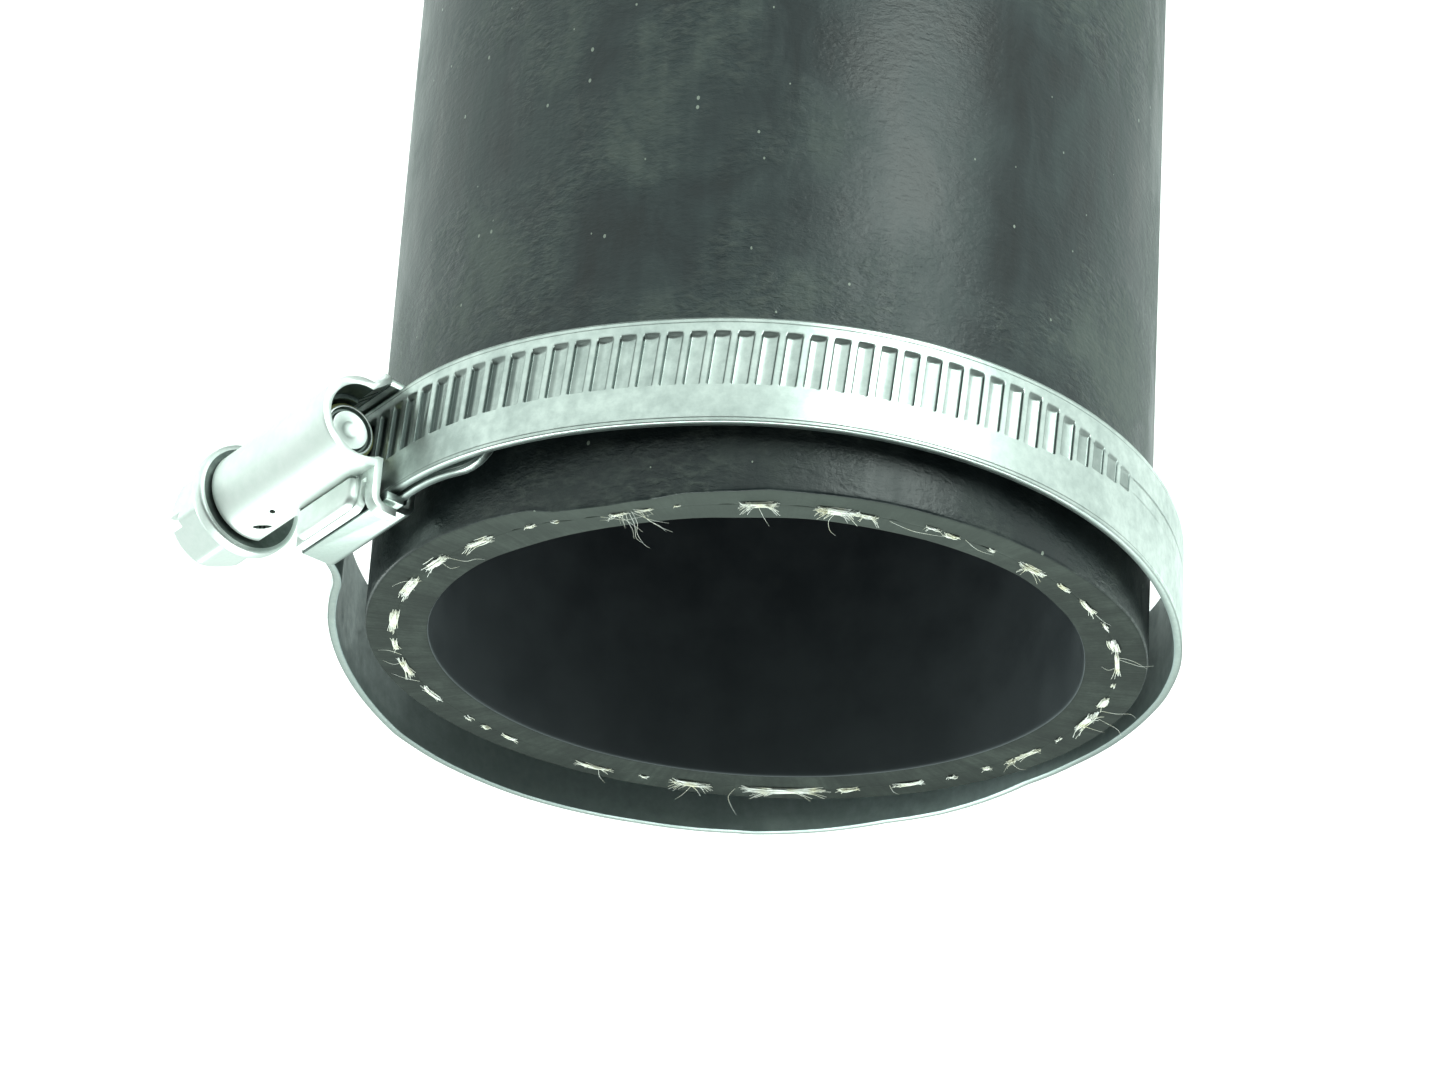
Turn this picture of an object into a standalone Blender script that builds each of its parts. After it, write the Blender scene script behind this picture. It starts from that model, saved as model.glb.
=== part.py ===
# End of a reinforced rubber charge-air hose with a worm-drive clamp resting loosely on it.
# The hose stands on its plain far end, and the cut end with the clamp points up.
# Metres, +Z up. The footprint's centre is at the origin, on the floor.

import math

import bmesh
import bpy
from mathutils import Vector

MM = 0.001

# Gap left between pieces that touch.
SEAT_GAP = 0.3 * MM

# Hose: a rubber liner, a textile ply and a rubber cover, vulcanised together.
HOSE_LENGTH = 120.0 * MM
HOSE_BORE_RADIUS = 25.5 * MM
LINER_WALL = 1.8 * MM
PLY_WALL = 1.0 * MM
COVER_WALL = 1.6 * MM
CUT_EDGE_CHAMFER = 0.25 * MM
HOSE_SEGMENTS = 96

# Cut yarn ends in the section of the hose.
YARN_COUNT = 44
YARN_STEPS = 4
YARN_PROUD = 0.45 * MM
YARN_SUNK = 0.5 * MM

# Clamp band: one steel strip with pressed thread grooves.
BAND_WIDTH = 9.0 * MM
BAND_THICKNESS = 0.7 * MM
BAND_EDGE_ROUND = 0.14 * MM
BAND_SLACK = 1.7 * MM
BAND_STEP_DEG = 3.0
BAND_END_RADIUS = 3.5 * MM
BAND_END_SHARES = (0.0, 0.08, 0.3, 0.6, 1.0)
BAND_AIM_REACH = 0.5 * MM
TONGUE_REACH_DEG = 15.5
TONGUE_SKEW = 0.8 * MM
TAIL_PAST_SADDLE = 1.6 * MM
TAIL_STEPS = 5
BEND_STEPS = 5
SETTLE_DEG = 45.0
BULGE_START_DEG = 29.0
BULGE_STEPS = 4
CORNER_RADIUS = 1.5 * MM
CORNER_PAST_SADDLE = 0.5 * MM

GROOVE_PITCH = 1.95 * MM
GROOVE_LENGTH = 4.6 * MM
GROOVE_WIDTH = 0.95 * MM
GROOVE_DEPTH = 0.36 * MM
GROOVE_SLANT_DEG = 4.5
GROOVE_SHIFT = -1.0 * MM
GROOVE_COUNT = 41
GROOVE_RUN_OUT_COUNT = 6
GROOVE_LAST_DEPTH_SHARE = 0.4
GROOVE_LAST_LENGTH_SHARE = 0.55

# Place of the clamp on the hose.
CLAMP_TILT_DEG = 6.0
CLAMP_BELOW_CUT = 5.56 * MM
CLAMP_SIDE_SHIFT = -0.2 * MM
HOUSING_TURN_DEG = 52.7

# Saddle: the channel under the band that carries the housing.
SHEET = 0.7 * MM
SADDLE_LIFT = 0.5 * MM
SADDLE_FRONT = -1.45 * MM
SADDLE_LENGTH = 10.2 * MM
SADDLE_SIDE_GAP = 0.35 * MM
SADDLE_CORNER = 0.9 * MM

# Housing: the rolled barrel with two feet that sit on the saddle's walls.
HOUSING_FRONT = -0.65 * MM
BARREL_LENGTH = 15.4 * MM
BARREL_OFFSET = -0.4 * MM
NECK_HALF_WIDTH = 2.5 * MM
SKIRT_ANGLE_DEG = 100.0
FOOT_LENGTH = 8.5 * MM
FOOT_OVERHANG = 0.2 * MM
FOOT_CORNER = 1.2 * MM
LUG_LENGTH = 1.0 * MM
LUG_NOTCH = 0.7 * MM
LUG_DROP = 1.3 * MM
LUG_BEND = 1.4 * MM
LIP_LENGTH = 0.9 * MM
ARC_STEPS = 20
CORNER_STEPS = 4

# Worm screw: hexagon head, collar, worm thread and plain tip.
SCREW_TURN_DEG = 20.0
THREAD_RADIUS = 2.65 * MM
THREAD_START = 0.8 * MM
THREAD_CREST_SHARE = 0.24
THREAD_FLANK_SHARE = 0.2
CORE_RADIUS = 2.1 * MM
TIP_RADIUS = 2.3 * MM
TIP_RECESS = 1.9 * MM
TIP_LENGTH = 1.2 * MM
TIP_CHAMFER = 0.3 * MM
COLLAR_RADIUS = 4.55 * MM
COLLAR_THICKNESS = 1.2 * MM
HEAD_ACROSS_FLATS = 6.5 * MM
HEAD_LENGTH = 5.2 * MM
HEAD_CHAMFER = 0.6 * MM
HEAD_CHAMFER_SLOPE = 0.3
DRIVER_SLOT_WIDTH = 1.2 * MM
DRIVER_SLOT_DEPTH = 1.6 * MM
SCREW_SEGMENTS = 24
THREAD_STEPS = 6

# Worked out from the sizes above.
LINER_OUTER = HOSE_BORE_RADIUS + LINER_WALL
PLY_INNER = LINER_OUTER + SEAT_GAP
PLY_OUTER = PLY_INNER + PLY_WALL
COVER_INNER = PLY_OUTER + SEAT_GAP
HOSE_OUTER_RADIUS = COVER_INNER + COVER_WALL
BAND_OUTER_RADIUS = HOSE_OUTER_RADIUS + BAND_SLACK + BAND_THICKNESS
BAND_MID_RADIUS = BAND_OUTER_RADIUS - BAND_THICKNESS / 2
CLAMP_TILT = math.radians(CLAMP_TILT_DEG)
CLAMP_BACK_SHIFT = (
    (BAND_OUTER_RADIUS - BAND_THICKNESS) * math.cos(CLAMP_TILT)
    - BAND_WIDTH / 2 * math.sin(CLAMP_TILT)
    - HOSE_OUTER_RADIUS
    - SEAT_GAP
)

# Heights of the stacked sheets above the ring's centre, in the housing's frame.
INNER_LAYER = BAND_MID_RADIUS + SADDLE_LIFT
OUTER_LAYER = INNER_LAYER + BAND_THICKNESS + SEAT_GAP
SADDLE_TOP = INNER_LAYER - BAND_THICKNESS / 2 - SEAT_GAP
SADDLE_BOTTOM = SADDLE_TOP - SHEET
WALL_TOP = OUTER_LAYER + BAND_THICKNESS / 2 + 2 * SEAT_GAP
FOOT_BOTTOM = WALL_TOP + SEAT_GAP
FOOT_TOP = FOOT_BOTTOM + SHEET
SCREW_HEIGHT = OUTER_LAYER + BAND_THICKNESS / 2 + SEAT_GAP + THREAD_RADIUS
WALL_INSIDE = BAND_WIDTH / 2 + SADDLE_SIDE_GAP
WALL_OUTSIDE = WALL_INSIDE + SHEET
SADDLE_REAR = SADDLE_FRONT - SADDLE_LENGTH
BARREL_INNER = THREAD_RADIUS + SEAT_GAP
BARREL_OUTER = BARREL_INNER + SHEET
BARREL_REAR = HOUSING_FRONT - BARREL_LENGTH
TAIL_END = SADDLE_REAR - TAIL_PAST_SADDLE


def clear_scene():
    for item in list(bpy.data.objects):
        bpy.data.objects.remove(item, do_unlink=True)


def make_material(name, color, roughness, metallic):
    material = bpy.data.materials.new(name)
    material.use_nodes = True
    shader = material.node_tree.nodes["Principled BSDF"]
    shader.inputs["Base Color"].default_value = (*color, 1.0)
    shader.inputs["Roughness"].default_value = roughness
    shader.inputs["Metallic"].default_value = metallic
    return material


def make_empty(name, parent=None):
    empty = bpy.data.objects.new(name, None)
    bpy.context.collection.objects.link(empty)
    empty.parent = parent
    return empty


def make_object(name, bm, material, parent):
    bmesh.ops.recalc_face_normals(bm, faces=bm.faces)
    mesh = bpy.data.meshes.new(name)
    bm.to_mesh(mesh)
    bm.free()
    mesh.shade_smooth()
    mesh.set_sharp_from_angle(angle=math.radians(35))
    mesh.materials.append(material)
    item = bpy.data.objects.new(name, mesh)
    bpy.context.collection.objects.link(item)
    item.parent = parent
    return item


def make_cutter(name, bm, parent):
    cutter = make_object(name, bm, make_material(name, (0.5, 0.5, 0.5), 0.5, 0.0), parent)
    cutter.hide_render = True
    cutter.display_type = "WIRE"
    return cutter


def cut(item, cutter, operation="DIFFERENCE"):
    modifier = item.modifiers.new(cutter.name, "BOOLEAN")
    modifier.operation = operation
    modifier.solver = "EXACT"
    modifier.object = cutter


def loft(bm, rings, closed_path=False):
    """Join rings of equal point counts with quads, and cap the two ends."""
    rows = [[bm.verts.new(point) for point in ring] for ring in rings]
    pairs = list(zip(rows, rows[1:]))
    if closed_path:
        pairs.append((rows[-1], rows[0]))
    for first, second in pairs:
        for k in range(len(first)):
            n = (k + 1) % len(first)
            bm.faces.new((first[k], first[n], second[n], second[k]))
    if not closed_path:
        bm.faces.new(rows[0])
        bm.faces.new(list(reversed(rows[-1])))


def prism(bm, outline, x_from, x_to):
    """Extrude an outline of (y, z) points along X."""
    loft(bm, [[(x, y, z) for y, z in outline] for x in (x_from, x_to)])


def block(bm, low, high):
    prism(bm, [(low[1], low[2]), (high[1], low[2]), (high[1], high[2]), (low[1], high[2])], low[0], high[0])


def arc(center, radius, start, end, steps):
    """Points (y, z) on an arc; the angle is counted from +Y towards +Z."""
    angles = [start + (end - start) * k / steps for k in range(steps + 1)]
    return [(center[0] + radius * math.cos(a), center[1] + radius * math.sin(a)) for a in angles]


def revolve(bm, section_at, segments):
    """Turn a closed section about Z; section_at gives its (r, z) points at each angle."""
    rings = []
    for k in range(segments):
        angle = 2 * math.pi * k / segments
        rings.append([(r * math.cos(angle), r * math.sin(angle), z) for r, z in section_at(k)])
    loft(bm, rings, closed_path=True)


def build_liner(parent, rubber):
    bm = bmesh.new()
    section = [
        (HOSE_BORE_RADIUS, 0.0),
        (LINER_OUTER, 0.0),
        (LINER_OUTER, HOSE_LENGTH),
        (HOSE_BORE_RADIUS + CUT_EDGE_CHAMFER, HOSE_LENGTH),
        (HOSE_BORE_RADIUS, HOSE_LENGTH - CUT_EDGE_CHAMFER),
    ]
    revolve(bm, lambda k: section, HOSE_SEGMENTS)
    return make_object("inner_tube", bm, rubber, parent)


def build_ply(parent, textile):
    """The ply's cut yarn ends stand a little proud of the section, with sunk gaps between them."""
    def section_at(k):
        wave = math.sin(math.pi * (k % YARN_STEPS) / YARN_STEPS)
        top = HOSE_LENGTH - YARN_SUNK + (YARN_SUNK + YARN_PROUD) * wave
        lean = 0.5 * SEAT_GAP * wave
        return [(PLY_INNER, SEAT_GAP), (PLY_OUTER, SEAT_GAP), (PLY_OUTER, top), (PLY_INNER + lean, top)]

    bm = bmesh.new()
    revolve(bm, section_at, YARN_COUNT * YARN_STEPS)
    return make_object("textile_ply", bm, textile, parent)


def build_cover(parent, rubber):
    bm = bmesh.new()
    section = [
        (COVER_INNER, 0.0),
        (HOSE_OUTER_RADIUS - CUT_EDGE_CHAMFER, 0.0),
        (HOSE_OUTER_RADIUS, CUT_EDGE_CHAMFER),
        (HOSE_OUTER_RADIUS, HOSE_LENGTH - CUT_EDGE_CHAMFER),
        (HOSE_OUTER_RADIUS - CUT_EDGE_CHAMFER, HOSE_LENGTH),
        (COVER_INNER, HOSE_LENGTH),
    ]
    revolve(bm, lambda k: section, HOSE_SEGMENTS)
    return make_object("outer_cover", bm, rubber, parent)


def polar(radius, angle):
    """A point of the housing's frame; the angle is counted from +Y towards +X, the screw's tip."""
    return Vector((radius * math.sin(angle), radius * math.cos(angle)))


def settle_radius(angle, start):
    """Radius of a layer that leaves the housing at start and settles onto the ring."""
    share = min(abs(angle) / math.radians(SETTLE_DEG), 1.0)
    return BAND_MID_RADIUS + (start - BAND_MID_RADIUS) * (0.5 + 0.5 * math.cos(math.pi * share))


def round_corner(before, corner, after, radius, steps):
    """Replace a corner of a route by an arc."""
    inward = (before - corner).normalized()
    outward = (after - corner).normalized()
    half = inward.angle(outward) / 2
    bisector = (inward + outward).normalized()
    center = corner + bisector * (radius / math.sin(half))
    start = corner + inward * (radius / math.tan(half)) - center
    end = corner + outward * (radius / math.tan(half)) - center
    turn = math.atan2(start.x * end.y - start.y * end.x, start.dot(end))
    points = []
    for k in range(steps + 1):
        a = turn * k / steps
        offset = Vector((start.x * math.cos(a) - start.y * math.sin(a), start.x * math.sin(a) + start.y * math.cos(a)))
        points.append(center + offset)
    return points


def band_route():
    """Centre line from the tongue, through the saddle, once round the hose and back over the top."""
    step = math.radians(BAND_STEP_DEG)
    tongue = []
    reach = math.radians(TONGUE_REACH_DEG)
    count = math.ceil(reach / step)
    for k in range(count):
        angle = reach * (1 - k / count)
        tongue.append(polar(settle_radius(angle, OUTER_LAYER) + INNER_LAYER - OUTER_LAYER, angle))

    corner = Vector((SADDLE_REAR - CORNER_PAST_SADDLE, INNER_LAYER))
    corner_angle = math.atan2(corner.x, corner.y)
    bulge_start = -math.radians(BULGE_START_DEG)
    bulge = []
    for k in range(1, BULGE_STEPS + 1):
        share = 1 - k / BULGE_STEPS
        angle = bulge_start + (corner_angle - bulge_start) * share
        bulge.append(polar(BAND_MID_RADIUS + (corner.length - BAND_MID_RADIUS) * share ** 2, angle))
    bend = round_corner(Vector((0.0, INNER_LAYER)), corner, bulge[0], CORNER_RADIUS, BEND_STEPS)

    full_turn = -2 * math.pi
    count = math.ceil((bulge_start - full_turn) / step)
    ring = []
    for k in range(1, count + 1):
        angle = bulge_start + (full_turn - bulge_start) * k / count
        ring.append(polar(settle_radius(angle - full_turn, OUTER_LAYER), angle))

    straight = [Vector((x, INNER_LAYER)) for x in (0.0, SADDLE_REAR / 2)]
    tail = [Vector((TAIL_END * k / TAIL_STEPS, OUTER_LAYER)) for k in range(1, TAIL_STEPS + 1)]
    return tongue + straight + bend + bulge + ring + tail


def route_lengths(route):
    lengths = [0.0]
    for first, second in zip(route, route[1:]):
        lengths.append(lengths[-1] + (second - first).length)
    return lengths


def along_route(route, lengths, distance):
    """Point and direction at a distance along the route."""
    k = 0
    while k < len(route) - 2 and lengths[k + 1] < distance:
        k += 1
    share = (distance - lengths[k]) / (lengths[k + 1] - lengths[k])
    direction = (route[k + 1] - route[k]).normalized()
    return route[k].lerp(route[k + 1], share), direction


def strip_section(point, direction, half_width, shift):
    """The strip's cross-section with slightly rounded edges, shifted across the strip."""
    side = Vector((-direction.y, direction.x))
    half = BAND_THICKNESS / 2
    soft = BAND_EDGE_ROUND
    outline = [
        (half, half_width - soft),
        (half - soft, half_width),
        (soft - half, half_width),
        (-half, half_width - soft),
        (-half, soft - half_width),
        (soft - half, -half_width),
        (half - soft, -half_width),
        (half, soft - half_width),
    ]
    ring = []
    for offset, z in outline:
        flat = point + side * offset
        ring.append((flat.x, flat.y, z + shift))
    return ring


def tongue_shift(distance):
    """The tongue runs a little skew towards the open end beyond the saddle."""
    reach = math.radians(TONGUE_REACH_DEG) * BAND_MID_RADIUS
    share = max(0.0, 1.0 - distance / reach)
    return TONGUE_SKEW * share * share


def end_half_width(distance):
    """Half width of the strip at a distance from a rounded end."""
    straight = BAND_WIDTH / 2
    if distance >= BAND_END_RADIUS:
        return straight
    short = BAND_END_RADIUS - distance
    return straight - BAND_END_RADIUS + math.sqrt(BAND_END_RADIUS ** 2 - short ** 2)


def build_band(parent, steel):
    route = band_route()
    lengths = route_lengths(route)
    total = lengths[-1]
    near_ends = [BAND_END_RADIUS * share for share in BAND_END_SHARES]
    stations = near_ends + [total - d for d in near_ends]
    stations += [d for d in lengths if BAND_END_RADIUS < d < total - BAND_END_RADIUS]
    stations.sort()

    bm = bmesh.new()
    rings = []
    for distance in stations:
        point, _ = along_route(route, lengths, distance)
        before, _ = along_route(route, lengths, max(distance - BAND_AIM_REACH, 0.0))
        after, _ = along_route(route, lengths, min(distance + BAND_AIM_REACH, total))
        width = end_half_width(min(distance, total - distance))
        rings.append(strip_section(point, (after - before).normalized(), width, tongue_shift(distance)))
    loft(bm, rings)
    band = make_object("clamp_band", bm, steel, parent)

    grooves = bmesh.new()
    slant = math.tan(math.radians(GROOVE_SLANT_DEG))
    for k in range(GROOVE_COUNT):
        fade = min(1.0, (GROOVE_COUNT - k) / GROOVE_RUN_OUT_COUNT)
        depth = GROOVE_DEPTH * (GROOVE_LAST_DEPTH_SHARE + (1.0 - GROOVE_LAST_DEPTH_SHARE) * fade)
        length = GROOVE_LENGTH * (GROOVE_LAST_LENGTH_SHARE + (1.0 - GROOVE_LAST_LENGTH_SHARE) * fade)
        distance = total - BAND_END_RADIUS - GROOVE_PITCH * k
        point, direction = along_route(route, lengths, distance)
        outward = Vector((direction.y, -direction.x))
        if outward.dot(point) < 0:
            outward = -outward
        floor = point + outward * (BAND_THICKNESS / 2 - depth)
        roof = point + outward * BAND_THICKNESS
        half_length = length / 2
        rings = []
        for base in (floor, roof):
            ring = []
            for end, side in ((-1, -1), (-1, 1), (1, 1), (1, -1)):
                shift = side * GROOVE_WIDTH / 2 + end * half_length * slant
                flat = base + direction * shift
                ring.append((flat.x, flat.y, GROOVE_SHIFT + end * half_length))
            rings.append(ring)
        loft(grooves, rings)
    cut(band, make_cutter("thread_grooves", grooves, parent))
    return band


def build_saddle(parent, steel):
    """A channel: its floor is under the band and its walls stand beside it."""
    inner_corner = SADDLE_CORNER - SHEET / 2
    bend_height = SADDLE_BOTTOM + SADDLE_CORNER
    bend_side = WALL_OUTSIDE - SADDLE_CORNER
    outline = [(WALL_TOP, WALL_INSIDE), (WALL_TOP, WALL_OUTSIDE)]
    outline += arc((bend_height, bend_side), SADDLE_CORNER, math.pi / 2, math.pi, CORNER_STEPS)
    outline += arc((bend_height, -bend_side), SADDLE_CORNER, math.pi, math.pi * 1.5, CORNER_STEPS)
    outline += [(WALL_TOP, -WALL_OUTSIDE), (WALL_TOP, -WALL_INSIDE)]
    outline += [(SADDLE_TOP + inner_corner, -WALL_INSIDE), (SADDLE_TOP, inner_corner - WALL_INSIDE)]
    outline += [(SADDLE_TOP, WALL_INSIDE - inner_corner), (SADDLE_TOP + inner_corner, WALL_INSIDE)]
    bm = bmesh.new()
    prism(bm, outline, SADDLE_REAR, SADDLE_FRONT)
    return make_object("clamp_saddle", bm, steel, parent)


def foot_cutter(front):
    """Trims the near foot's front corner round and clears the way for the lug."""
    inner = BARREL_OFFSET + BARREL_OUTER + SEAT_GAP
    edge = WALL_OUTSIDE + FOOT_OVERHANG
    far = edge + SHEET
    ahead = HOUSING_FRONT + SHEET
    outline = [(ahead, inner), (ahead, far), (front - FOOT_CORNER, far)]
    for k in range(CORNER_STEPS + 1):
        a = math.pi / 2 * k / CORNER_STEPS
        x = front - FOOT_CORNER * (1 - math.sin(a))
        outline.append((x, edge - FOOT_CORNER * (1 - math.cos(a))))
    outline.append((front, inner))
    bm = bmesh.new()
    loft(bm, [[(x, y, z) for x, z in outline] for y in (FOOT_BOTTOM - SHEET, FOOT_TOP + SHEET)])
    return bm


def build_housing(parent, steel):
    """The barrel wraps the screw; its near foot and its far skirt sit on the saddle's walls."""
    center = (SCREW_HEIGHT, BARREL_OFFSET)
    neck_angle = math.pi - math.asin(NECK_HALF_WIDTH / BARREL_INNER)
    valley_angle = math.pi - math.acos((SCREW_HEIGHT - FOOT_TOP) / BARREL_OUTER)
    skirt_angle = math.radians(SKIRT_ANGLE_DEG)
    foot_edge = WALL_OUTSIDE + FOOT_OVERHANG
    outline = [(FOOT_BOTTOM, BARREL_OFFSET + NECK_HALF_WIDTH), (FOOT_BOTTOM, foot_edge)]
    outline += [(FOOT_TOP, foot_edge)]
    outline += arc(center, BARREL_OUTER, valley_angle, -skirt_angle, 2 * ARC_STEPS)
    outline += [(FOOT_TOP, -WALL_INSIDE), (FOOT_TOP, -WALL_OUTSIDE)]
    outline += [(FOOT_BOTTOM, -WALL_OUTSIDE), (FOOT_BOTTOM, SEAT_GAP - WALL_INSIDE)]
    outline += arc(center, BARREL_INNER, -skirt_angle, neck_angle, 2 * ARC_STEPS)
    bm = bmesh.new()
    prism(bm, outline, BARREL_REAR, HOUSING_FRONT)
    housing = make_object("clamp_housing", bm, steel, parent)

    lug_rear = HOUSING_FRONT - LUG_LENGTH
    foot_front = lug_rear - LUG_NOTCH
    foot_rear = foot_front - FOOT_LENGTH
    under = bmesh.new()
    reach = 2 * WALL_OUTSIDE
    low = (BARREL_REAR - SHEET, FOOT_BOTTOM - SHEET, -reach)
    block(under, low, (foot_rear, FOOT_TOP + SEAT_GAP, reach))
    cut(housing, make_cutter("overhang_opening", under, parent))
    cut(housing, make_cutter("foot_trim", foot_cutter(foot_front), parent))

    lug_inside = WALL_OUTSIDE + SEAT_GAP
    lug_outside = lug_inside + SHEET
    neck = BARREL_OFFSET + NECK_HALF_WIDTH + SHEET / 2
    bend_center = (FOOT_TOP - LUG_BEND, lug_outside - LUG_BEND)
    lug_outline = [(FOOT_BOTTOM, neck), (FOOT_TOP, neck)]
    lug_outline += arc(bend_center, LUG_BEND, 0.0, math.pi / 2, CORNER_STEPS)
    lug_outline += [(WALL_TOP - LUG_DROP, lug_outside), (WALL_TOP - LUG_DROP, lug_inside)]
    lug_outline += arc(bend_center, LUG_BEND - SHEET, math.pi / 2, 0.0, CORNER_STEPS)
    lug = bmesh.new()
    prism(lug, lug_outline, lug_rear, HOUSING_FRONT)
    cut(housing, make_cutter("foot_lug", lug, parent), "UNION")

    lip_front = HOUSING_FRONT - TIP_RECESS
    bite = SHEET / 3
    lip_outline = arc(center, BARREL_INNER + bite, -skirt_angle, neck_angle, 2 * ARC_STEPS)
    lip_outline += arc(center, TIP_RADIUS + SEAT_GAP, neck_angle, -skirt_angle, 2 * ARC_STEPS)
    lip = bmesh.new()
    prism(lip, lip_outline, lip_front - LIP_LENGTH, lip_front)
    cut(housing, make_cutter("tip_lip", lip, parent), "UNION")
    return housing


def hexagon_radius(angle):
    """Radius of the hexagon head at an angle about the screw's axis."""
    facet = math.fmod(angle, math.pi / 3) - math.pi / 6
    return HEAD_ACROSS_FLATS / 2 / math.cos(facet)


def worm_radius(x, angle):
    """Radius of the worm at a place along the screw: a helix with the pitch of the band's grooves."""
    turn = (x / GROOVE_PITCH - angle / (2 * math.pi)) % 1.0
    past_crest = abs(turn - 0.5) - THREAD_CREST_SHARE / 2
    rise = 1.0 - max(0.0, min(1.0, past_crest / THREAD_FLANK_SHARE))
    return CORE_RADIUS + (THREAD_RADIUS - CORE_RADIUS) * rise


def build_screw(parent, steel):
    """Head, collar, worm and tip as one turned piece along X; its origin is on its axis."""
    collar_front = BARREL_REAR - SEAT_GAP
    collar_rear = collar_front - COLLAR_THICKNESS
    head_end = collar_rear - HEAD_LENGTH
    tip_end = HOUSING_FRONT - TIP_RECESS
    tip_start = tip_end - TIP_LENGTH
    angles = [2 * math.pi * k / SCREW_SEGMENTS for k in range(SCREW_SEGMENTS)]

    def ring(x, radius_at):
        return [(x, radius_at(a) * math.cos(a), radius_at(a) * math.sin(a)) for a in angles]

    inscribed = HEAD_ACROSS_FLATS / 2
    rings = [ring(head_end, lambda a: inscribed - HEAD_CHAMFER * HEAD_CHAMFER_SLOPE)]
    rings.append(ring(head_end + HEAD_CHAMFER, hexagon_radius))
    rings.append(ring(collar_rear, hexagon_radius))
    rings.append(ring(collar_rear, lambda a: COLLAR_RADIUS))
    rings.append(ring(collar_front, lambda a: COLLAR_RADIUS))
    rings.append(ring(collar_front, lambda a: CORE_RADIUS))
    thread_start = collar_front + THREAD_START
    steps = math.floor((tip_start - thread_start) / GROOVE_PITCH * THREAD_STEPS)
    rings.append(ring(thread_start, lambda a: CORE_RADIUS))
    for k in range(1, steps + 1):
        x = thread_start + (tip_start - thread_start) * k / (steps + 1)
        rings.append(ring(x, lambda a, x=x: worm_radius(x, a)))
    rings.append(ring(tip_start, lambda a: TIP_RADIUS))
    rings.append(ring(tip_end - TIP_CHAMFER, lambda a: TIP_RADIUS))
    rings.append(ring(tip_end, lambda a: TIP_RADIUS - TIP_CHAMFER))
    bm = bmesh.new()
    loft(bm, rings)
    screw = make_object("worm_screw", bm, steel, parent)
    screw.location = (0.0, SCREW_HEIGHT, BARREL_OFFSET)
    screw.rotation_euler = (math.radians(SCREW_TURN_DEG), 0.0, 0.0)

    slot = bmesh.new()
    reach = HEAD_ACROSS_FLATS
    half_slot = DRIVER_SLOT_WIDTH / 2
    block(slot, (head_end - reach, -reach, -half_slot), (head_end + DRIVER_SLOT_DEPTH, reach, half_slot))
    cut(screw, make_cutter("driver_slot", slot, screw))
    return screw


def center_footprint(assembly):
    """Move the whole model so that the middle of its footprint is at the origin."""
    bpy.context.view_layer.update()
    corners = []
    for item in bpy.data.objects:
        if item.type == "MESH" and not item.hide_render:
            corners += [item.matrix_world @ vertex.co for vertex in item.data.vertices]
    for axis in (0, 1):
        values = [corner[axis] for corner in corners]
        assembly.location[axis] -= (min(values) + max(values)) / 2


def main():
    clear_scene()
    rubber = make_material("cover_rubber", (0.035, 0.042, 0.04), 0.55, 0.0)
    liner_rubber = make_material("liner_rubber", (0.02, 0.024, 0.024), 0.6, 0.0)
    textile = make_material("textile", (0.62, 0.6, 0.5), 0.9, 0.0)
    band_steel = make_material("band_steel", (0.62, 0.66, 0.64), 0.35, 1.0)
    housing_steel = make_material("housing_steel", (0.82, 0.85, 0.83), 0.3, 1.0)
    saddle_steel = make_material("saddle_steel", (0.7, 0.73, 0.71), 0.35, 1.0)
    screw_steel = make_material("screw_steel", (0.75, 0.78, 0.77), 0.28, 1.0)

    assembly = make_empty("assembly")
    clamp = make_empty("clamp_frame", assembly)
    clamp.location = (CLAMP_SIDE_SHIFT, CLAMP_BACK_SHIFT, HOSE_LENGTH - CLAMP_BELOW_CUT)
    clamp.rotation_euler = (CLAMP_TILT, 0.0, 0.0)
    housing_frame = make_empty("housing_frame", clamp)
    housing_frame.rotation_euler = (0.0, 0.0, math.radians(180.0 + HOUSING_TURN_DEG))

    build_liner(assembly, liner_rubber)
    build_ply(assembly, textile)
    build_cover(assembly, rubber)
    build_band(housing_frame, band_steel)
    build_saddle(housing_frame, saddle_steel)
    build_housing(housing_frame, housing_steel)
    build_screw(housing_frame, screw_steel)
    center_footprint(assembly)


main()
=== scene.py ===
import math
import random

import bmesh
import bpy
import numpy as np
from mathutils import Matrix, Vector


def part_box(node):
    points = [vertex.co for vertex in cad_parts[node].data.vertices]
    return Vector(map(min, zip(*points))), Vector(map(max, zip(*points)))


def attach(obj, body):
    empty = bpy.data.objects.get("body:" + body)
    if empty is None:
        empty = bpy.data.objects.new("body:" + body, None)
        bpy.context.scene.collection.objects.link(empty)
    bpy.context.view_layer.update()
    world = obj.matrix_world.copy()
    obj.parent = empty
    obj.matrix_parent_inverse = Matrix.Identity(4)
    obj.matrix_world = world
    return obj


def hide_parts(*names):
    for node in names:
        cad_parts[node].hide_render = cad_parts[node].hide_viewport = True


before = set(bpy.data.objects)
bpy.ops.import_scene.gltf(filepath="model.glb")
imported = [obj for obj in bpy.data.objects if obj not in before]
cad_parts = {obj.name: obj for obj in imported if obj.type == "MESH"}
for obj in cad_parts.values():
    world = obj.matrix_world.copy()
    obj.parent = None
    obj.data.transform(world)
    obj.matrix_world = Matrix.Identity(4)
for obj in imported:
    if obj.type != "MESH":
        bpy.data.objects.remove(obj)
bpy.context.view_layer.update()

MM = 0.001
CLAMPED = "hose_and_clamp"
TURNING = "screw"

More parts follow.
